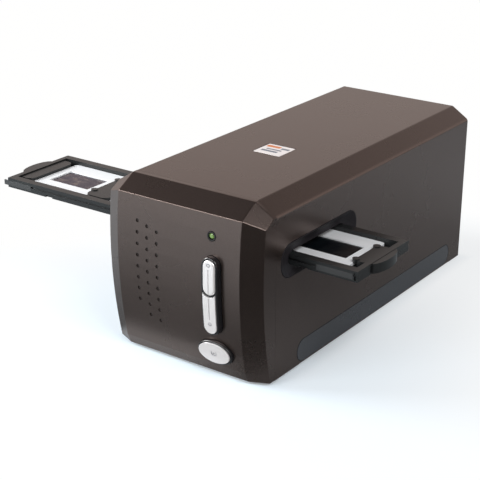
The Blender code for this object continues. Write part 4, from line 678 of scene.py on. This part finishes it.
def make_board_lacquer():
    finish = new_finish("board_lacquer", BOARD_GREEN, rough=(0.25, 0.35))
    tree = finish.node_tree
    place = object_place(tree)
    cells = add_node(tree, "TexVoronoi", Vector=place, Scale=260)
    cells.distance = "CHEBYCHEV"
    lines = add_node(tree, "TexWave", Vector=place, Scale=160, Distortion=2)
    tracks = maths(tree, "GREATER_THAN", lines.outputs["Fac"], TRACK_SHARE_START)
    set_base(finish, mixed(tree, "RGBA", tracks, (*BOARD_GREEN, 1), (*TRACK_GREEN, 1)))
    add_bump(finish, cells.outputs["Distance"], 0.02 * MM)
    return finish


BOARD_LACQUER = make_board_lacquer()
print("made", BOARD_LACQUER.name)

# %% [markdown]
# A slide holds a dark transparency, and here it shows a made-up scene of blurred patches. A stretched
# noise texture, coloured by a ramp of dark violets and browns, is enough at this size. The first
# slide is a light one, and the other three are painted almost black for the shade they lie in. The
# green of the status lamp is made here too, with a faint glow of its own.

# %% Film and lamp green
FILM_STOPS = (0.32, 0.5, 0.7)


def make_film(name, *tones):
    """A film finish from its dark, middle and light tone."""
    finish = new_finish(name, tones[1], rough=(0.2, 0.28), Specular_IOR_Level=0.3)
    tree = finish.node_tree
    stretch = add_node(tree, "Mapping", Vector=object_place(tree), Scale=(1.0, 1.8, 1.0))
    noise = add_node(tree, "TexNoise", Vector=stretch.outputs[0], Scale=130, Detail=4)
    set_base(finish, add_ramp(tree, noise.outputs["Fac"], *zip(FILM_STOPS, tones)))
    return finish


FILM = make_film("film_transparency", (0.014, 0.011, 0.03), (0.044, 0.036, 0.054), (0.115, 0.092, 0.085))
SHADED_FILM = make_film("film_dense", (0.002, 0.003, 0.005), (0.004, 0.006, 0.008), (0.008, 0.011, 0.013))
LAMP_GREEN = new_finish(
    "lamp_green", (0.14, 0.24, 0.07), rough=(0.1, 0.16),
    Emission_Color=(0.26, 0.52, 0.12, 1), Emission_Strength=0.07, Coat_Weight=0.5,
)
print("made", FILM.name, LAMP_GREEN.name)

# %% [markdown]
# Each solid of the frame takes the finish of its material slot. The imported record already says
# which slot a solid belongs to, so one table from slot to finish dresses them all.

# %% Finish by slot
FINISH_OF_SLOT = {
    "casing": CASING_PAINT,
    "rear_panel": REAR_PLASTIC,
    "base": BASE_PLASTIC,
    "black_plastic": INNER_BLACK,
    "slot_scoop": SCOOP_BLACK,
    "key_surround": POLISHED_BLACK,
    "key": KEY_SILVER,
    "status_lamp": LAMP_GREEN,
    "film_holder": HOLDER_PLASTIC,
    "slide_mount": MOUNT_WHITE,
    "film": FILM,
    "rubber": FOOT_RUBBER,
    "steel": GROUND_STEEL,
    "alloy": CAST_ALLOY,
    "circuit_board": BOARD_LACQUER,
    "lamp_board": WHITE_LACQUER,
    "diffuser": OPAL_SHEET,
    "glass": LENS_GLASS,
    "mirror": SILVERED,
    "ribbon": RIBBON_GREY,
}
SLOT_OF_NODE = {part["node"]: part["material_slot"] for part in frame["record"]["subparts"]}
for node, solid in nodes.items():
    solid.data.materials.clear()
    solid.data.materials.append(FINISH_OF_SLOT[SLOT_OF_NODE[node]])
# Slides two to four take the film painted near black for the shade they lie in.
for number in (2, 3, 4):
    nodes[f"film_chip_{number}"].data.materials[0] = SHADED_FILM
print("dressed solids:", len(nodes))

# %% [markdown]
# No moulding has knife-sharp edges, and an edge that is a little round catches a thin line of light.
# `refine` copies a solid, rounds the edges that are asked for and gives it the finish of its slot.
# The test on an edge's two ends keeps small holes out, where a bevel would only make a mess. A step
# of its own can come before or after the rounding.

# %% Refining a solid
BODIES = frame["record"]["behaviour"]["bodies"]
BODY_OF_NODE = {node: body for body, names in BODIES.items() for node in names}


def dress(piece, node):
    """Gives a piece the finish and body of the solid that it stands for, and hides that solid."""
    slot = SLOT_OF_NODE[node]
    finish_piece(piece, FINISH_OF_SLOT[slot], BODY_OF_NODE[node], slot, node)


def longer_than(length):
    return lambda first, second: (first - second).length > length


def refine(node, radius, wanted, segments=2, least_bend=25, smooth=35, first=None, last=None):
    piece = copy_solid(node, node + "_moulded")
    if first:
        first(piece)
    count = round_edges(piece, radius, wanted, segments, least_bend)
    if last:
        last(piece)
    soften(piece, smooth)
    dress(piece, node)
    print(node, "rounded edges:", count, "faces:", len(piece.data.polygons))
    return piece


print("refining ready, bodies:", len(BODIES))

# %% [markdown]
# The front moulding is bulged, with slopes along its top and its two sides. Its long edges get a
# small radius, and shading by angle joins the flat bands of the bulge into one smooth face. The
# casing behind it is drawn forward a little, so that the seam between the two is only a hairline.

# %% Front moulding and casing
FACE_HALF_WIDTH, FACE_LOW_Z, FACE_TOP_Z = 46 * MM, 9.5 * MM, 108 * MM
SLOPE_EDGE_LEAST, RIM_EDGE_LEAST = 4 * MM, 12 * MM
SEAM_Y = (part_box("front_bezel")[1].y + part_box("top_cover")[0].y) / 2
SEAM_MARGIN = 0.6 * MM
SEAM_CLOSED_BY = 0.3 * MM


def at_the_seam(first, second):
    return max(abs(first.y - SEAM_Y), abs(second.y - SEAM_Y)) < SEAM_MARGIN


def on_front_slopes(first, second):
    if (first - second).length < SLOPE_EDGE_LEAST or at_the_seam(first, second):
        return False
    return not any(
        abs(end.x) < FACE_HALF_WIDTH and FACE_LOW_Z < end.z < FACE_TOP_Z for end in (first, second)
    )


def on_cover_rims(first, second):
    return (first - second).length > RIM_EDGE_LEAST and not at_the_seam(first, second)


def close_seam(piece):
    """Moves the front rim of the casing up to the moulding."""
    choose_nothing(piece, "VERT")
    for vertex in piece.data.vertices:
        vertex.select = abs(vertex.co.y - SEAM_Y) < SEAM_MARGIN
    set_mode("EDIT")
    bpy.ops.transform.translate(value=(0, -SEAM_CLOSED_BY, 0))
    set_mode("OBJECT")


bezel = refine("front_bezel", 0.4 * MM, on_front_slopes, segments=3, least_bend=9, smooth=25)
refine("top_cover", 0.4 * MM, on_cover_rims, segments=3, first=close_seam)
refine("rear_panel", 0.4 * MM, longer_than(6 * MM))
refine("base_tray", 0.6 * MM, longer_than(6 * MM), segments=3)

# %% [markdown]
# The vent holes are shallow: a floor lies less than a millimetre behind the face, painted dark brown
# for the shade inside each hole. One small disc is set into each hole, at the depth found by rays
# that meet the face on both sides of the hole, and the discs are joined into one piece.

# %% Vent floors
VENT_COLUMNS = ((-31.3, 94.5, 8), (-23.6, 92.3, 9), (-15.91, 90.09, 9))
VENT_STEP, VENT_DEPTH, VENT_DISC, VENT_THICK, VENT_ASIDE = 7.652, 0.8, 1.34, 0.8, 2.4
# The dark brown of the vent floors is painted shade inside the holes.
VENT_SHADE_BROWN = moulded("vent_brown", (0.03, 0.025, 0.024), 0.004 * MM, rough=(0.5, 0.6))


def front_at(piece, x, z):
    """The place where a ray from the front meets the piece."""
    bpy.context.view_layer.update()
    return piece.ray_cast(Vector((x, -1, z)), Vector((0, 1, 0)))[1]


def add_vent_floors():
    discs = []
    for x, top, count in VENT_COLUMNS:
        for row in range(count):
            z = (top - row * VENT_STEP) * MM
            sides = [front_at(bezel, (x + aside) * MM, z).y for aside in (-VENT_ASIDE, VENT_ASIDE)]
            y = sum(sides) / 2 + (VENT_DEPTH + VENT_THICK / 2) * MM
            bpy.ops.mesh.primitive_cylinder_add(
                vertices=16, radius=VENT_DISC * MM, depth=VENT_THICK * MM, location=(x * MM, y, z),
                rotation=(math.radians(90), 0, 0),
            )
            discs.append(bpy.context.object)
    pick(discs[0])
    for disc in discs:
        disc.select_set(True)
    bpy.ops.object.join()
    floors = bpy.context.object
    floors.name = "vent_floors"
    settle(floors)
    finish_piece(floors, VENT_SHADE_BROWN, "casing", "casing")
    return len(discs)


print("vent floors:", add_vent_floors())

# %% [markdown]
# A piece that stands for no solid begins as a plain block, from one corner to the other. A plate is
# a thin block with round corners and a soft rim on its outer side. Its sizes are in millimetres.

# %% Blocks and plates
PLATE_RIM = 0.9 * MM


def add_block(name, low, high):
    """A box between two corners, with its size and place already in its mesh."""
    bpy.ops.object.select_all(action="DESELECT")
    bpy.ops.mesh.primitive_cube_add(size=1, location=(low + high) / 2)
    piece = bpy.context.object
    piece.name = name
    piece.scale = high - low
    settle(piece)
    return piece


def add_plate(name, low, high, axis, side, corner, finish, body="casing", slot="casing", steps=4):
    """A thin plate with round corners, whose outer side faces along the axis. In millimetres."""
    low, high, corner = Vector(low) * MM, Vector(high) * MM, corner * MM
    piece = add_block(name, low, high)
    depth = (high - low)[axis]
    outer = (high if side > 0 else low)[axis]
    round_edges(piece, corner, lambda first, second: abs(first[axis] - second[axis]) > depth / 2, steps)
    rim = min(corner, depth, PLATE_RIM) / 3

    def on_outer_side(first, second):
        return max(abs(first[axis] - outer), abs(second[axis] - outer)) < TOUCHING

    round_edges(piece, rim, on_outer_side, 2, 60)
    soften(piece)
    return finish_piece(piece, finish, body, slot)


print("blocks and plates ready")

# %% [markdown]
# Along each side of the casing lies a long dark pad with round ends. It stands a third of a
# millimetre out of the side, over a black plate that paints the shadow of the gap round its rim. A
# strip of the casing's own colour closes the corners of the recess behind it. Each layer is named
# with its slot, finish, place along X, margin round the pad and corner.

# %% Side pads
PAD_Y, PAD_Z = (-90.4, 117.4), (3.3, 18.4)
PAD_INNER, PAD_LOWEST, INFILL_TOP = 59.3, 2.1, 17.4
PAD_LAYERS = (
    ("side_infill", "casing", CASING_PAINT, 60.02, 1.2, 1.0),
    # The black layer below is painted shadow in the gap round the pad.
    ("side_pad_line", "black_plastic", INNER_BLACK, 60.1, 0.45, 7.6),
    ("side_pad", "base", BASE_PLASTIC, 60.35, 0.0, 7.2),
)

for word, side in (("right", 1), ("left", -1)):
    for name, slot, finish, out, margin, corner in PAD_LAYERS:
        inner, outer = sorted((side * PAD_INNER, side * out))
        top = INFILL_TOP if slot == "casing" else PAD_Z[1] + margin
        low = (inner, PAD_Y[0] - margin, max(PAD_Z[0] - margin, PAD_LOWEST))
        high = (outer, PAD_Y[1] + margin * 3, top)
        add_plate(f"{name}_{word}", low, high, 0, side, corner, finish, slot=slot, steps=10)
print("side pads: 2, pieces:", 2 * len(PAD_LAYERS))

# %% [markdown]
# Each film slot has a black cup. The real one is a shallow dish with a rounded rim, which catches a
# thin line of light, and a passage for the holder in its floor. It starts as a box with rounded
# corners. The outer face is drawn inwards step by step and narrowed a little each time, along a
# quarter wave, which gives the curved dish. The last step is bridged to the back.


# %% Faces drawn inwards
def choose_faces(piece, wanted):
    """Goes into edit mode with only the faces selected that pass the test."""
    choose_nothing(piece, "FACE")
    for polygon in piece.data.polygons:
        polygon.select = wanted(polygon)
    set_mode("EDIT")


def draw_in(centre, shift, width_share, height_share):
    """Extrudes the selected face and scales it across its two directions."""
    bpy.ops.mesh.extrude_region_move(TRANSFORM_OT_translate={"value": shift})
    bpy.ops.transform.resize(value=(1, width_share, height_share), center_override=centre)


print("drawing in ready")

# %% [markdown]
# The passage is as wide and as high as the film holder, with a little room round it. Its middle has
# another height than the scoop's own, so each step also shifts a little.

# %% Scoops round the film slots
FACING = 0.9
SCOOP_CORNER = 10.2 * MM
SCOOP_RIM, RIM_PROUD, LIP_ROUND = 0.7 * MM, 0.5 * MM, 0.3 * MM
DISH_DEPTH, DISH_STEPS = 2.4 * MM, 8
PASSAGE_SLACK = 1.5 * MM


def passage(centre):
    """Half the size of the holder's passage, and how far it lies above the scoop's middle."""
    low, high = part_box("film_holder")
    half = (high - low) / 2 + Vector((0, PASSAGE_SLACK, PASSAGE_SLACK))
    return half, ((low + high) / 2 - centre).z


def make_scoop(node, side):
    low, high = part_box(node)
    outer = side * (max(abs(low.x), abs(high.x)) + RIM_PROUD)
    low.x, high.x = sorted((side * min(abs(low.x), abs(high.x)), outer))
    piece = add_block(node + "_dish", low, high)
    round_edges(piece, SCOOP_CORNER, lambda first, second: abs(first.x - second.x) > MM, 10)
    choose_faces(piece, lambda polygon: polygon.normal.x * side > FACING)
    bpy.ops.mesh.inset(thickness=SCOOP_RIM)
    half = (high - low) / 2 - Vector((0, SCOOP_RIM, SCOOP_RIM))
    centre = (low + high) / 2
    goal, drift = passage(centre)
    width, tall, depth = half.y, half.z, 0
    for step in range(1, DISH_STEPS + 1):
        share = step / DISH_STEPS
        deeper = DISH_DEPTH * math.sin(share * math.pi / 2)
        wider, taller = half.y + (goal.y - half.y) * share, half.z + (goal.z - half.z) * share
        place = (outer - side * deeper, centre.y, centre.z + drift * share)
        draw_in(place, (side * (depth - deeper), 0, drift / DISH_STEPS), wider / width, taller / tall)
        width, tall, depth = wider, taller, deeper
    set_mode("OBJECT")
    choose_faces(piece, lambda polygon: polygon.normal.x * side < -FACING)
    back = (0, centre.y, centre.z + drift)
    draw_in(back, (0, 0, drift), goal.y * 2 / (high - low).y, goal.z * 2 / (high - low).z)
    set_mode("OBJECT")
    choose_faces(piece, lambda polygon: len(polygon.vertices) > 8 and abs(polygon.normal.x) > FACING)
    bpy.ops.mesh.bridge_edge_loops()
    bpy.ops.mesh.select_all(action="SELECT")
    bpy.ops.mesh.normals_make_consistent(inside=False)
    set_mode("OBJECT")
    floor = outer * side - DISH_DEPTH - 0.1 * MM
    round_edges(piece, LIP_ROUND, lambda first, second: min(first.x * side, second.x * side) > floor, 3, 40)
    soften(piece, 50)
    dress(piece, node)
    print(node, "faces:", len(piece.data.polygons))


make_scoop("right_slot_scoop", 1)
make_scoop("left_slot_scoop", -1)

# %% [markdown]
# The surround of the scan keys stands four millimetres out of the face. Its rim is rounded more on
# the outside, where a finger rubs it, than on the inside, where it meets the keys. The two bevels
# are told apart by how far an edge lies from the rim's middle.

# %% Surrounds of the keys
KEY_LOW, KEY_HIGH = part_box("upper_scan_key")
KEY_LINE_X = (KEY_LOW.x + KEY_HIGH.x) / 2
KEY_HALF_WIDTH = (KEY_HIGH.x - KEY_LOW.x) / 2
RIM_MIDDLE, RING_HALF = KEY_HALF_WIDTH + 0.9 * MM, 0.8 * MM
IN_FRONT = -130 * MM
OUTER_ROUND, INNER_ROUND = 0.9 * MM, 0.2 * MM


def in_front(first, second):
    return max(first.y, second.y) < IN_FRONT


def from_key_line(point):
    """The distance from the line that the ends of the two scan keys turn about."""
    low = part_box("lower_scan_key")[0].z + KEY_HALF_WIDTH
    nearest = min(max(point.z, low), KEY_HIGH.z - KEY_HALF_WIDTH)
    return math.hypot(point.x - KEY_LINE_X, point.z - nearest)


def from_power_middle(point):
    """How far out on the power key's oval a point lies, where the middle of the ring's rim is 1."""
    low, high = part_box("power_key")
    half = (high - low) / 2 + Vector((RING_HALF, 0, RING_HALF))
    middle = (low + high) / 2
    return math.hypot((point.x - middle.x) / half.x, (point.z - middle.z) / half.z)


def round_rim(node, place, limit):
    def outside(first, second):
        return in_front(first, second) and place(first) > limit

    def inside(first, second):
        return in_front(first, second) and place(first) <= limit

    refine(
        node, OUTER_ROUND, outside, 5, 60, 30,
        last=lambda piece: round_edges(piece, INNER_ROUND, inside, 2, 60),
    )


round_rim("key_surround", from_key_line, RIM_MIDDLE)
round_rim("power_key_ring", from_power_middle, 1)

# %% [markdown]
# The keys are cushions of silvered plastic, with a wide radius all round. A fine groove runs down
# the middle of each scan key. It is cut by a slim bar with the Boolean modifier, and the bar follows
# the slope of the face, which rays from the front find.

# %% Carving helpers
GROOVE_WIDTH, GROOVE_DEPTH, GROOVE_MARGIN = 0.8 * MM, 0.5 * MM, 2.5 * MM


def carve(piece, cutter):
    pick(piece)
    bpy.ops.object.modifier_add(type="BOOLEAN")
    difference = piece.modifiers[-1]
    difference.operation = "DIFFERENCE"
    difference.solver = "EXACT"
    difference.object = cutter
    apply_modifiers(piece)
    piece.data.polygons.foreach_set("material_index", [0] * len(piece.data.polygons))
    bpy.data.objects.remove(cutter, do_unlink=True)


def groove_bar(piece, x, low_z, high_z):
    """A slim bar with round ends that follows the slope of the face between two heights."""
    slope_low = front_at(piece, x, low_z + GROOVE_MARGIN)
    slope_high = front_at(piece, x, high_z - GROOVE_MARGIN)
    fall = (slope_high.y - slope_low.y) / (slope_high.z - slope_low.z)
    low = Vector((x, slope_low.y + (low_z - slope_low.z) * fall, low_z))
    high = Vector((x, slope_low.y + (high_z - slope_low.z) * fall, high_z))
    half = Vector((GROOVE_WIDTH, 2 * GROOVE_DEPTH, (high - low).length)) / 2
    bar = add_block("groove_bar", -half, half)
    round_edges(bar, GROOVE_WIDTH / 2, lambda first, second: abs(first.y - second.y) > GROOVE_DEPTH, 4)
    bar.rotation_euler.x = math.atan2(low.y - high.y, high.z - low.z)
    bar.location = (low + high) / 2
    settle(bar)
    return bar


print("carving ready")

# %% [markdown]
# Each key has a small grey ring on its face, made as a thin torus that lies half sunk in it. The
# power key has a dot in the middle of its ring. The groove and the marks are made in the last step
# of `refine`.

# %% Keys
KEY_ROUND, POWER_KEY_ROUND = 1.3 * MM, 1.4 * MM
MARK_THICKNESS = 0.22 * MM
SCAN_KEYS = {"upper_scan_key": (61.0, 77.6, 80.4), "lower_scan_key": (43.9, 59.6, 41.0)}
POWER_MARK_Z = 19.3
MARK_INK = moulded("mark_ink", (0.22, 0.23, 0.25), 0.002 * MM, rough=(0.3, 0.4))


def inlay_mark(key, node, name, x, z, radius):
    bpy.ops.object.select_all(action="DESELECT")
    bpy.ops.mesh.primitive_torus_add(
        location=front_at(key, x, z * MM), rotation=(math.radians(90), 0, 0), major_segments=32,
        minor_segments=8, major_radius=radius * MM, minor_radius=MARK_THICKNESS,
    )
    ring = bpy.context.object
    ring.name = f"{node}_{name}"
    settle(ring)
    soften(ring, 60)
    finish_piece(ring, MARK_INK, BODY_OF_NODE[node], "key")


def mark_scan_key(key):
    node = key.name.replace("_moulded", "")
    groove_low, groove_high, mark_z = SCAN_KEYS[node]
    carve(key, groove_bar(key, KEY_LINE_X, groove_low * MM, groove_high * MM))
    inlay_mark(key, node, "mark", KEY_LINE_X, mark_z, 1.0)


def mark_power_key(key):
    x = sum(corner.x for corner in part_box("power_key")) / 2
    inlay_mark(key, "power_key", "mark", x, POWER_MARK_Z, 1.8)
    inlay_mark(key, "power_key", "dot", x, POWER_MARK_Z, 0.45)


for node in SCAN_KEYS:
    refine(node, KEY_ROUND, in_front, 6, 60, 30, last=mark_scan_key)
refine("power_key", POWER_KEY_ROUND, in_front, 6, 60, 30, last=mark_power_key)

# %% [markdown]
# The status lamp is a green light guide whose end stands out as a small dome in a black grommet.
# Two bevels on the ends of the solids are enough: a wide one on the guide, a fine one on the ring.

# %% Status lamp
refine("status_lamp_lens", 1.3 * MM, in_front, 5, 60)
refine("status_lamp_grommet", 0.35 * MM, in_front, 2, 60)

# %% [markdown]
# What repeats is modelled once. `repeat` copies a finished piece to the other solids of its kind,
# and every copy gets a mesh of its own, because a finished piece keeps its place in its mesh.


# %% Repeating a piece
def repeat(piece, source, *others):
    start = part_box(source)[0]
    for node in others:
        twin = new_object(piece.name.replace(source, node), piece.data.copy())
        twin.data.transform(Matrix.Translation(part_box(node)[0] - start))
        dress(twin, node)
    print(source, "repeated for", len(others))


print("repeating ready")

# %% [markdown]
# The film holder and the slide mounts are injection mouldings, with a small radius on every rim. The
# holder's right end has two notches, and a panel lies in the near rail at each end, painted lighter
# as the reflection that a sloping recess would catch. The mounts are alike, so one is rounded and
# repeated.

# %% Film holder and slides
HOLDER_CUTS = (
    ((103.4, -97.7, 75.0), (105.2, -96.4, 79.6)),
    ((104.9, -82.5, 74.7), (107.2, -80.7, 79.7)),
)
RAIL_PANELS = (("holder_rail_panel_right", 76.7, 102.6), ("holder_rail_panel_left", -187.0, -161.0))
RAIL_PANEL_Z, PANEL_PROUD, PANEL_SUNK = (75.3, 79.0), 0.12, 0.4
# The panels' lighter grey is a painted reflection.
RAIL_PAINTED_SHEEN = moulded("rail_grey", (0.038, 0.041, 0.043), 0.006 * MM, grains=1800, rough=(0.28, 0.36))


def cut_notches(piece):
    for low, high in HOLDER_CUTS:
        carve(piece, add_block("notch_bar", Vector(low) * MM, Vector(high) * MM))


refine("film_holder", 0.45 * MM, longer_than(3 * MM), least_bend=50, last=cut_notches)
rail_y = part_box("film_holder")[0].y / MM
for name, low_x, high_x in RAIL_PANELS:
    low = (low_x, rail_y - PANEL_PROUD, RAIL_PANEL_Z[0])
    high = (high_x, rail_y + PANEL_SUNK, RAIL_PANEL_Z[1])
    add_plate(name, low, high, 1, -1, 0.5, RAIL_PAINTED_SHEEN, "film_holder", "film_holder")
mount = refine("slide_mount_1", 0.3 * MM, longer_than(0.6 * MM), segments=3, least_bend=50)
repeat(mount, "slide_mount_1", "slide_mount_2", "slide_mount_3", "slide_mount_4")

# %% [markdown]
# The feet and the screws below are treated in the same way. Each foot is rounded where it stands on
# the table, and each screw gets a cross recess before it is repeated.

# %% Feet and screws
CROSS_LENGTH, CROSS_WIDTH, CROSS_DEPTH = 3.4 * MM, 0.8 * MM, 1.3 * MM
SCREW_LOW, SCREW_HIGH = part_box("base_screw_1")


def below(height):
    return lambda first, second: max(first.z, second.z) < height


def cut_cross(piece):
    head = (SCREW_LOW + SCREW_HIGH) / 2
    head.z = SCREW_LOW.z
    for size in ((CROSS_LENGTH, CROSS_WIDTH), (CROSS_WIDTH, CROSS_LENGTH)):
        half = Vector((*size, 2 * CROSS_DEPTH)) / 2
        carve(piece, add_block("cross_bar", head - half, head + half))


foot = refine("foot_front_left", 0.5 * MM, below(MM), 3, 50)
repeat(foot, "foot_front_left", "foot_front_right", "foot_rear_left", "foot_rear_right")
screw = refine("base_screw_1", 0.3 * MM, below(SCREW_LOW.z + 0.1 * MM), 2, 50, last=cut_cross)
repeat(screw, "base_screw_1", "base_screw_2", "base_screw_3", "base_screw_4")

# %% [markdown]
# A small paper label lies in the recess on the top. It has one orange bar and a grey one along its
# rear edge, and two grey lines below. Each bar is a thin plate of its own colour, because ink on a
# real label is a layer as well.

# %% Label
LABEL_PAPER = moulded("label_paper", (0.8, 0.77, 0.77), 0.004 * MM, grains=900, spread=0.03)
LABEL_ORANGE = moulded("label_orange", (0.62, 0.2, 0.07), 0.002 * MM, grains=1200, spread=0.1)
LABEL_GREY = moulded("label_grey", (0.17, 0.19, 0.23), 0.002 * MM, grains=1200, spread=0.1)
LABEL_LOW, LABEL_HIGH = Vector((-10.4, -40.0, 118.72)), Vector((10.4, -20.4, 118.96))
BAR_LOW_Z, BAR_HIGH_Z = 118.9, 119.0
LABEL_BARS = (
    ("label_bar_orange", LABEL_ORANGE, (0.05, 0.7), (0.56, 0.88)),
    ("label_bar_grey", LABEL_GREY, (0.62, 0.66), (0.92, 0.8)),
    ("label_line_upper", LABEL_GREY, (0.2, 0.46), (0.76, 0.56)),
    ("label_line_lower", LABEL_GREY, (0.12, 0.24), (0.72, 0.38)),
)


def on_label(share_x, share_y, z):
    size = LABEL_HIGH - LABEL_LOW
    return LABEL_LOW.x + size.x * share_x, LABEL_LOW.y + size.y * share_y, z


add_plate("label_paper_plate", LABEL_LOW, LABEL_HIGH, 2, 1, 0.6, LABEL_PAPER)
for name, finish, low, high in LABEL_BARS:
    add_plate(name, on_label(*low, BAR_LOW_Z), on_label(*high, BAR_HIGH_Z), 2, 1, 0.3, finish)
print("label pieces:", 1 + len(LABEL_BARS))

# %% [markdown]
# The underside carries a rating plate of silver foil with five grey bars, made in the same manner.

# %% Rating plate
FOIL = moulded("foil", (0.62, 0.63, 0.65), 0.002 * MM, grains=1200, spread=0.03)
PLATE_LOW, PLATE_HIGH = (-23, -15, 1.45), (23, 15, 1.7)
PLATE_BARS = ((-20, 9, -2, 12), (-20, 4, 12, 6), (-20, 0, 6, 2), (-20, -11, -4, -5), (2, -11, 20, -8))
PLATE_BAR_Z = (1.36, 1.6)

add_plate("rating_plate", PLATE_LOW, PLATE_HIGH, 2, -1, 1, FOIL, slot="base")
for number, (low_x, low_y, high_x, high_y) in enumerate(PLATE_BARS, 1):
    low, high = (low_x, low_y, PLATE_BAR_Z[0]), (high_x, high_y, PLATE_BAR_Z[1])
    add_plate(f"rating_bar_{number}", low, high, 2, -1, 0.3, LABEL_GREY, slot="base")
print("rating plate pieces:", 1 + len(PLATE_BARS))

# %% [markdown]
# The two sockets at the back get their fine parts: a white tongue with four gilt contacts in the
# square socket, and a steel pin in the round one.

# %% Socket details
GILT = new_finish("gilt_contact", (0.8, 0.55, 0.22), rough=(0.18, 0.26), Metallic=1)
TONGUE_X, TONGUE_Y, TONGUE_Z = (17.26, 22.74), (121.0, 128.65), (13.14, 18.06)
CONTACT_X, CONTACT_WIDTH, CONTACT_PROUD = (18.3, 20.9), 0.8, 0.08
PIN_X, PIN_Y, PIN_Z, PIN_RADIUS = -18.0, (122.0, 129.45), 15.6, 1.03


def add_socket_tongue():
    low, high = zip(TONGUE_X, TONGUE_Y, TONGUE_Z)
    add_plate("usb_tongue", low, high, 1, 1, 0.4, MOUNT_WHITE, slot="steel")
    for number, (x, z) in enumerate([(x, z) for x in CONTACT_X for z in TONGUE_Z], 1):
        low = (x, TONGUE_Y[0] + 1, z - CONTACT_PROUD)
        high = (x + CONTACT_WIDTH, TONGUE_Y[1] - 0.5, z + CONTACT_PROUD)
        add_plate(f"usb_contact_{number}", low, high, 1, 1, 0.05, GILT, slot="steel")


def add_jack_pin():
    bpy.ops.mesh.primitive_cylinder_add(
        vertices=24, radius=PIN_RADIUS * MM, depth=(PIN_Y[1] - PIN_Y[0]) * MM,
        location=(PIN_X * MM, sum(PIN_Y) / 2 * MM, PIN_Z * MM), rotation=(math.radians(90), 0, 0),
    )
    pin = bpy.context.object
    pin.name = "jack_pin"
    settle(pin)
    round_edges(pin, 0.6 * MM, lambda first, second: min(first.y, second.y) > (PIN_Y[1] - 0.1) * MM, 4, 60)
    soften(pin)
    finish_piece(pin, GROUND_STEEL, "casing", "black_plastic")


add_socket_tongue()
add_jack_pin()
print("socket details: 6")
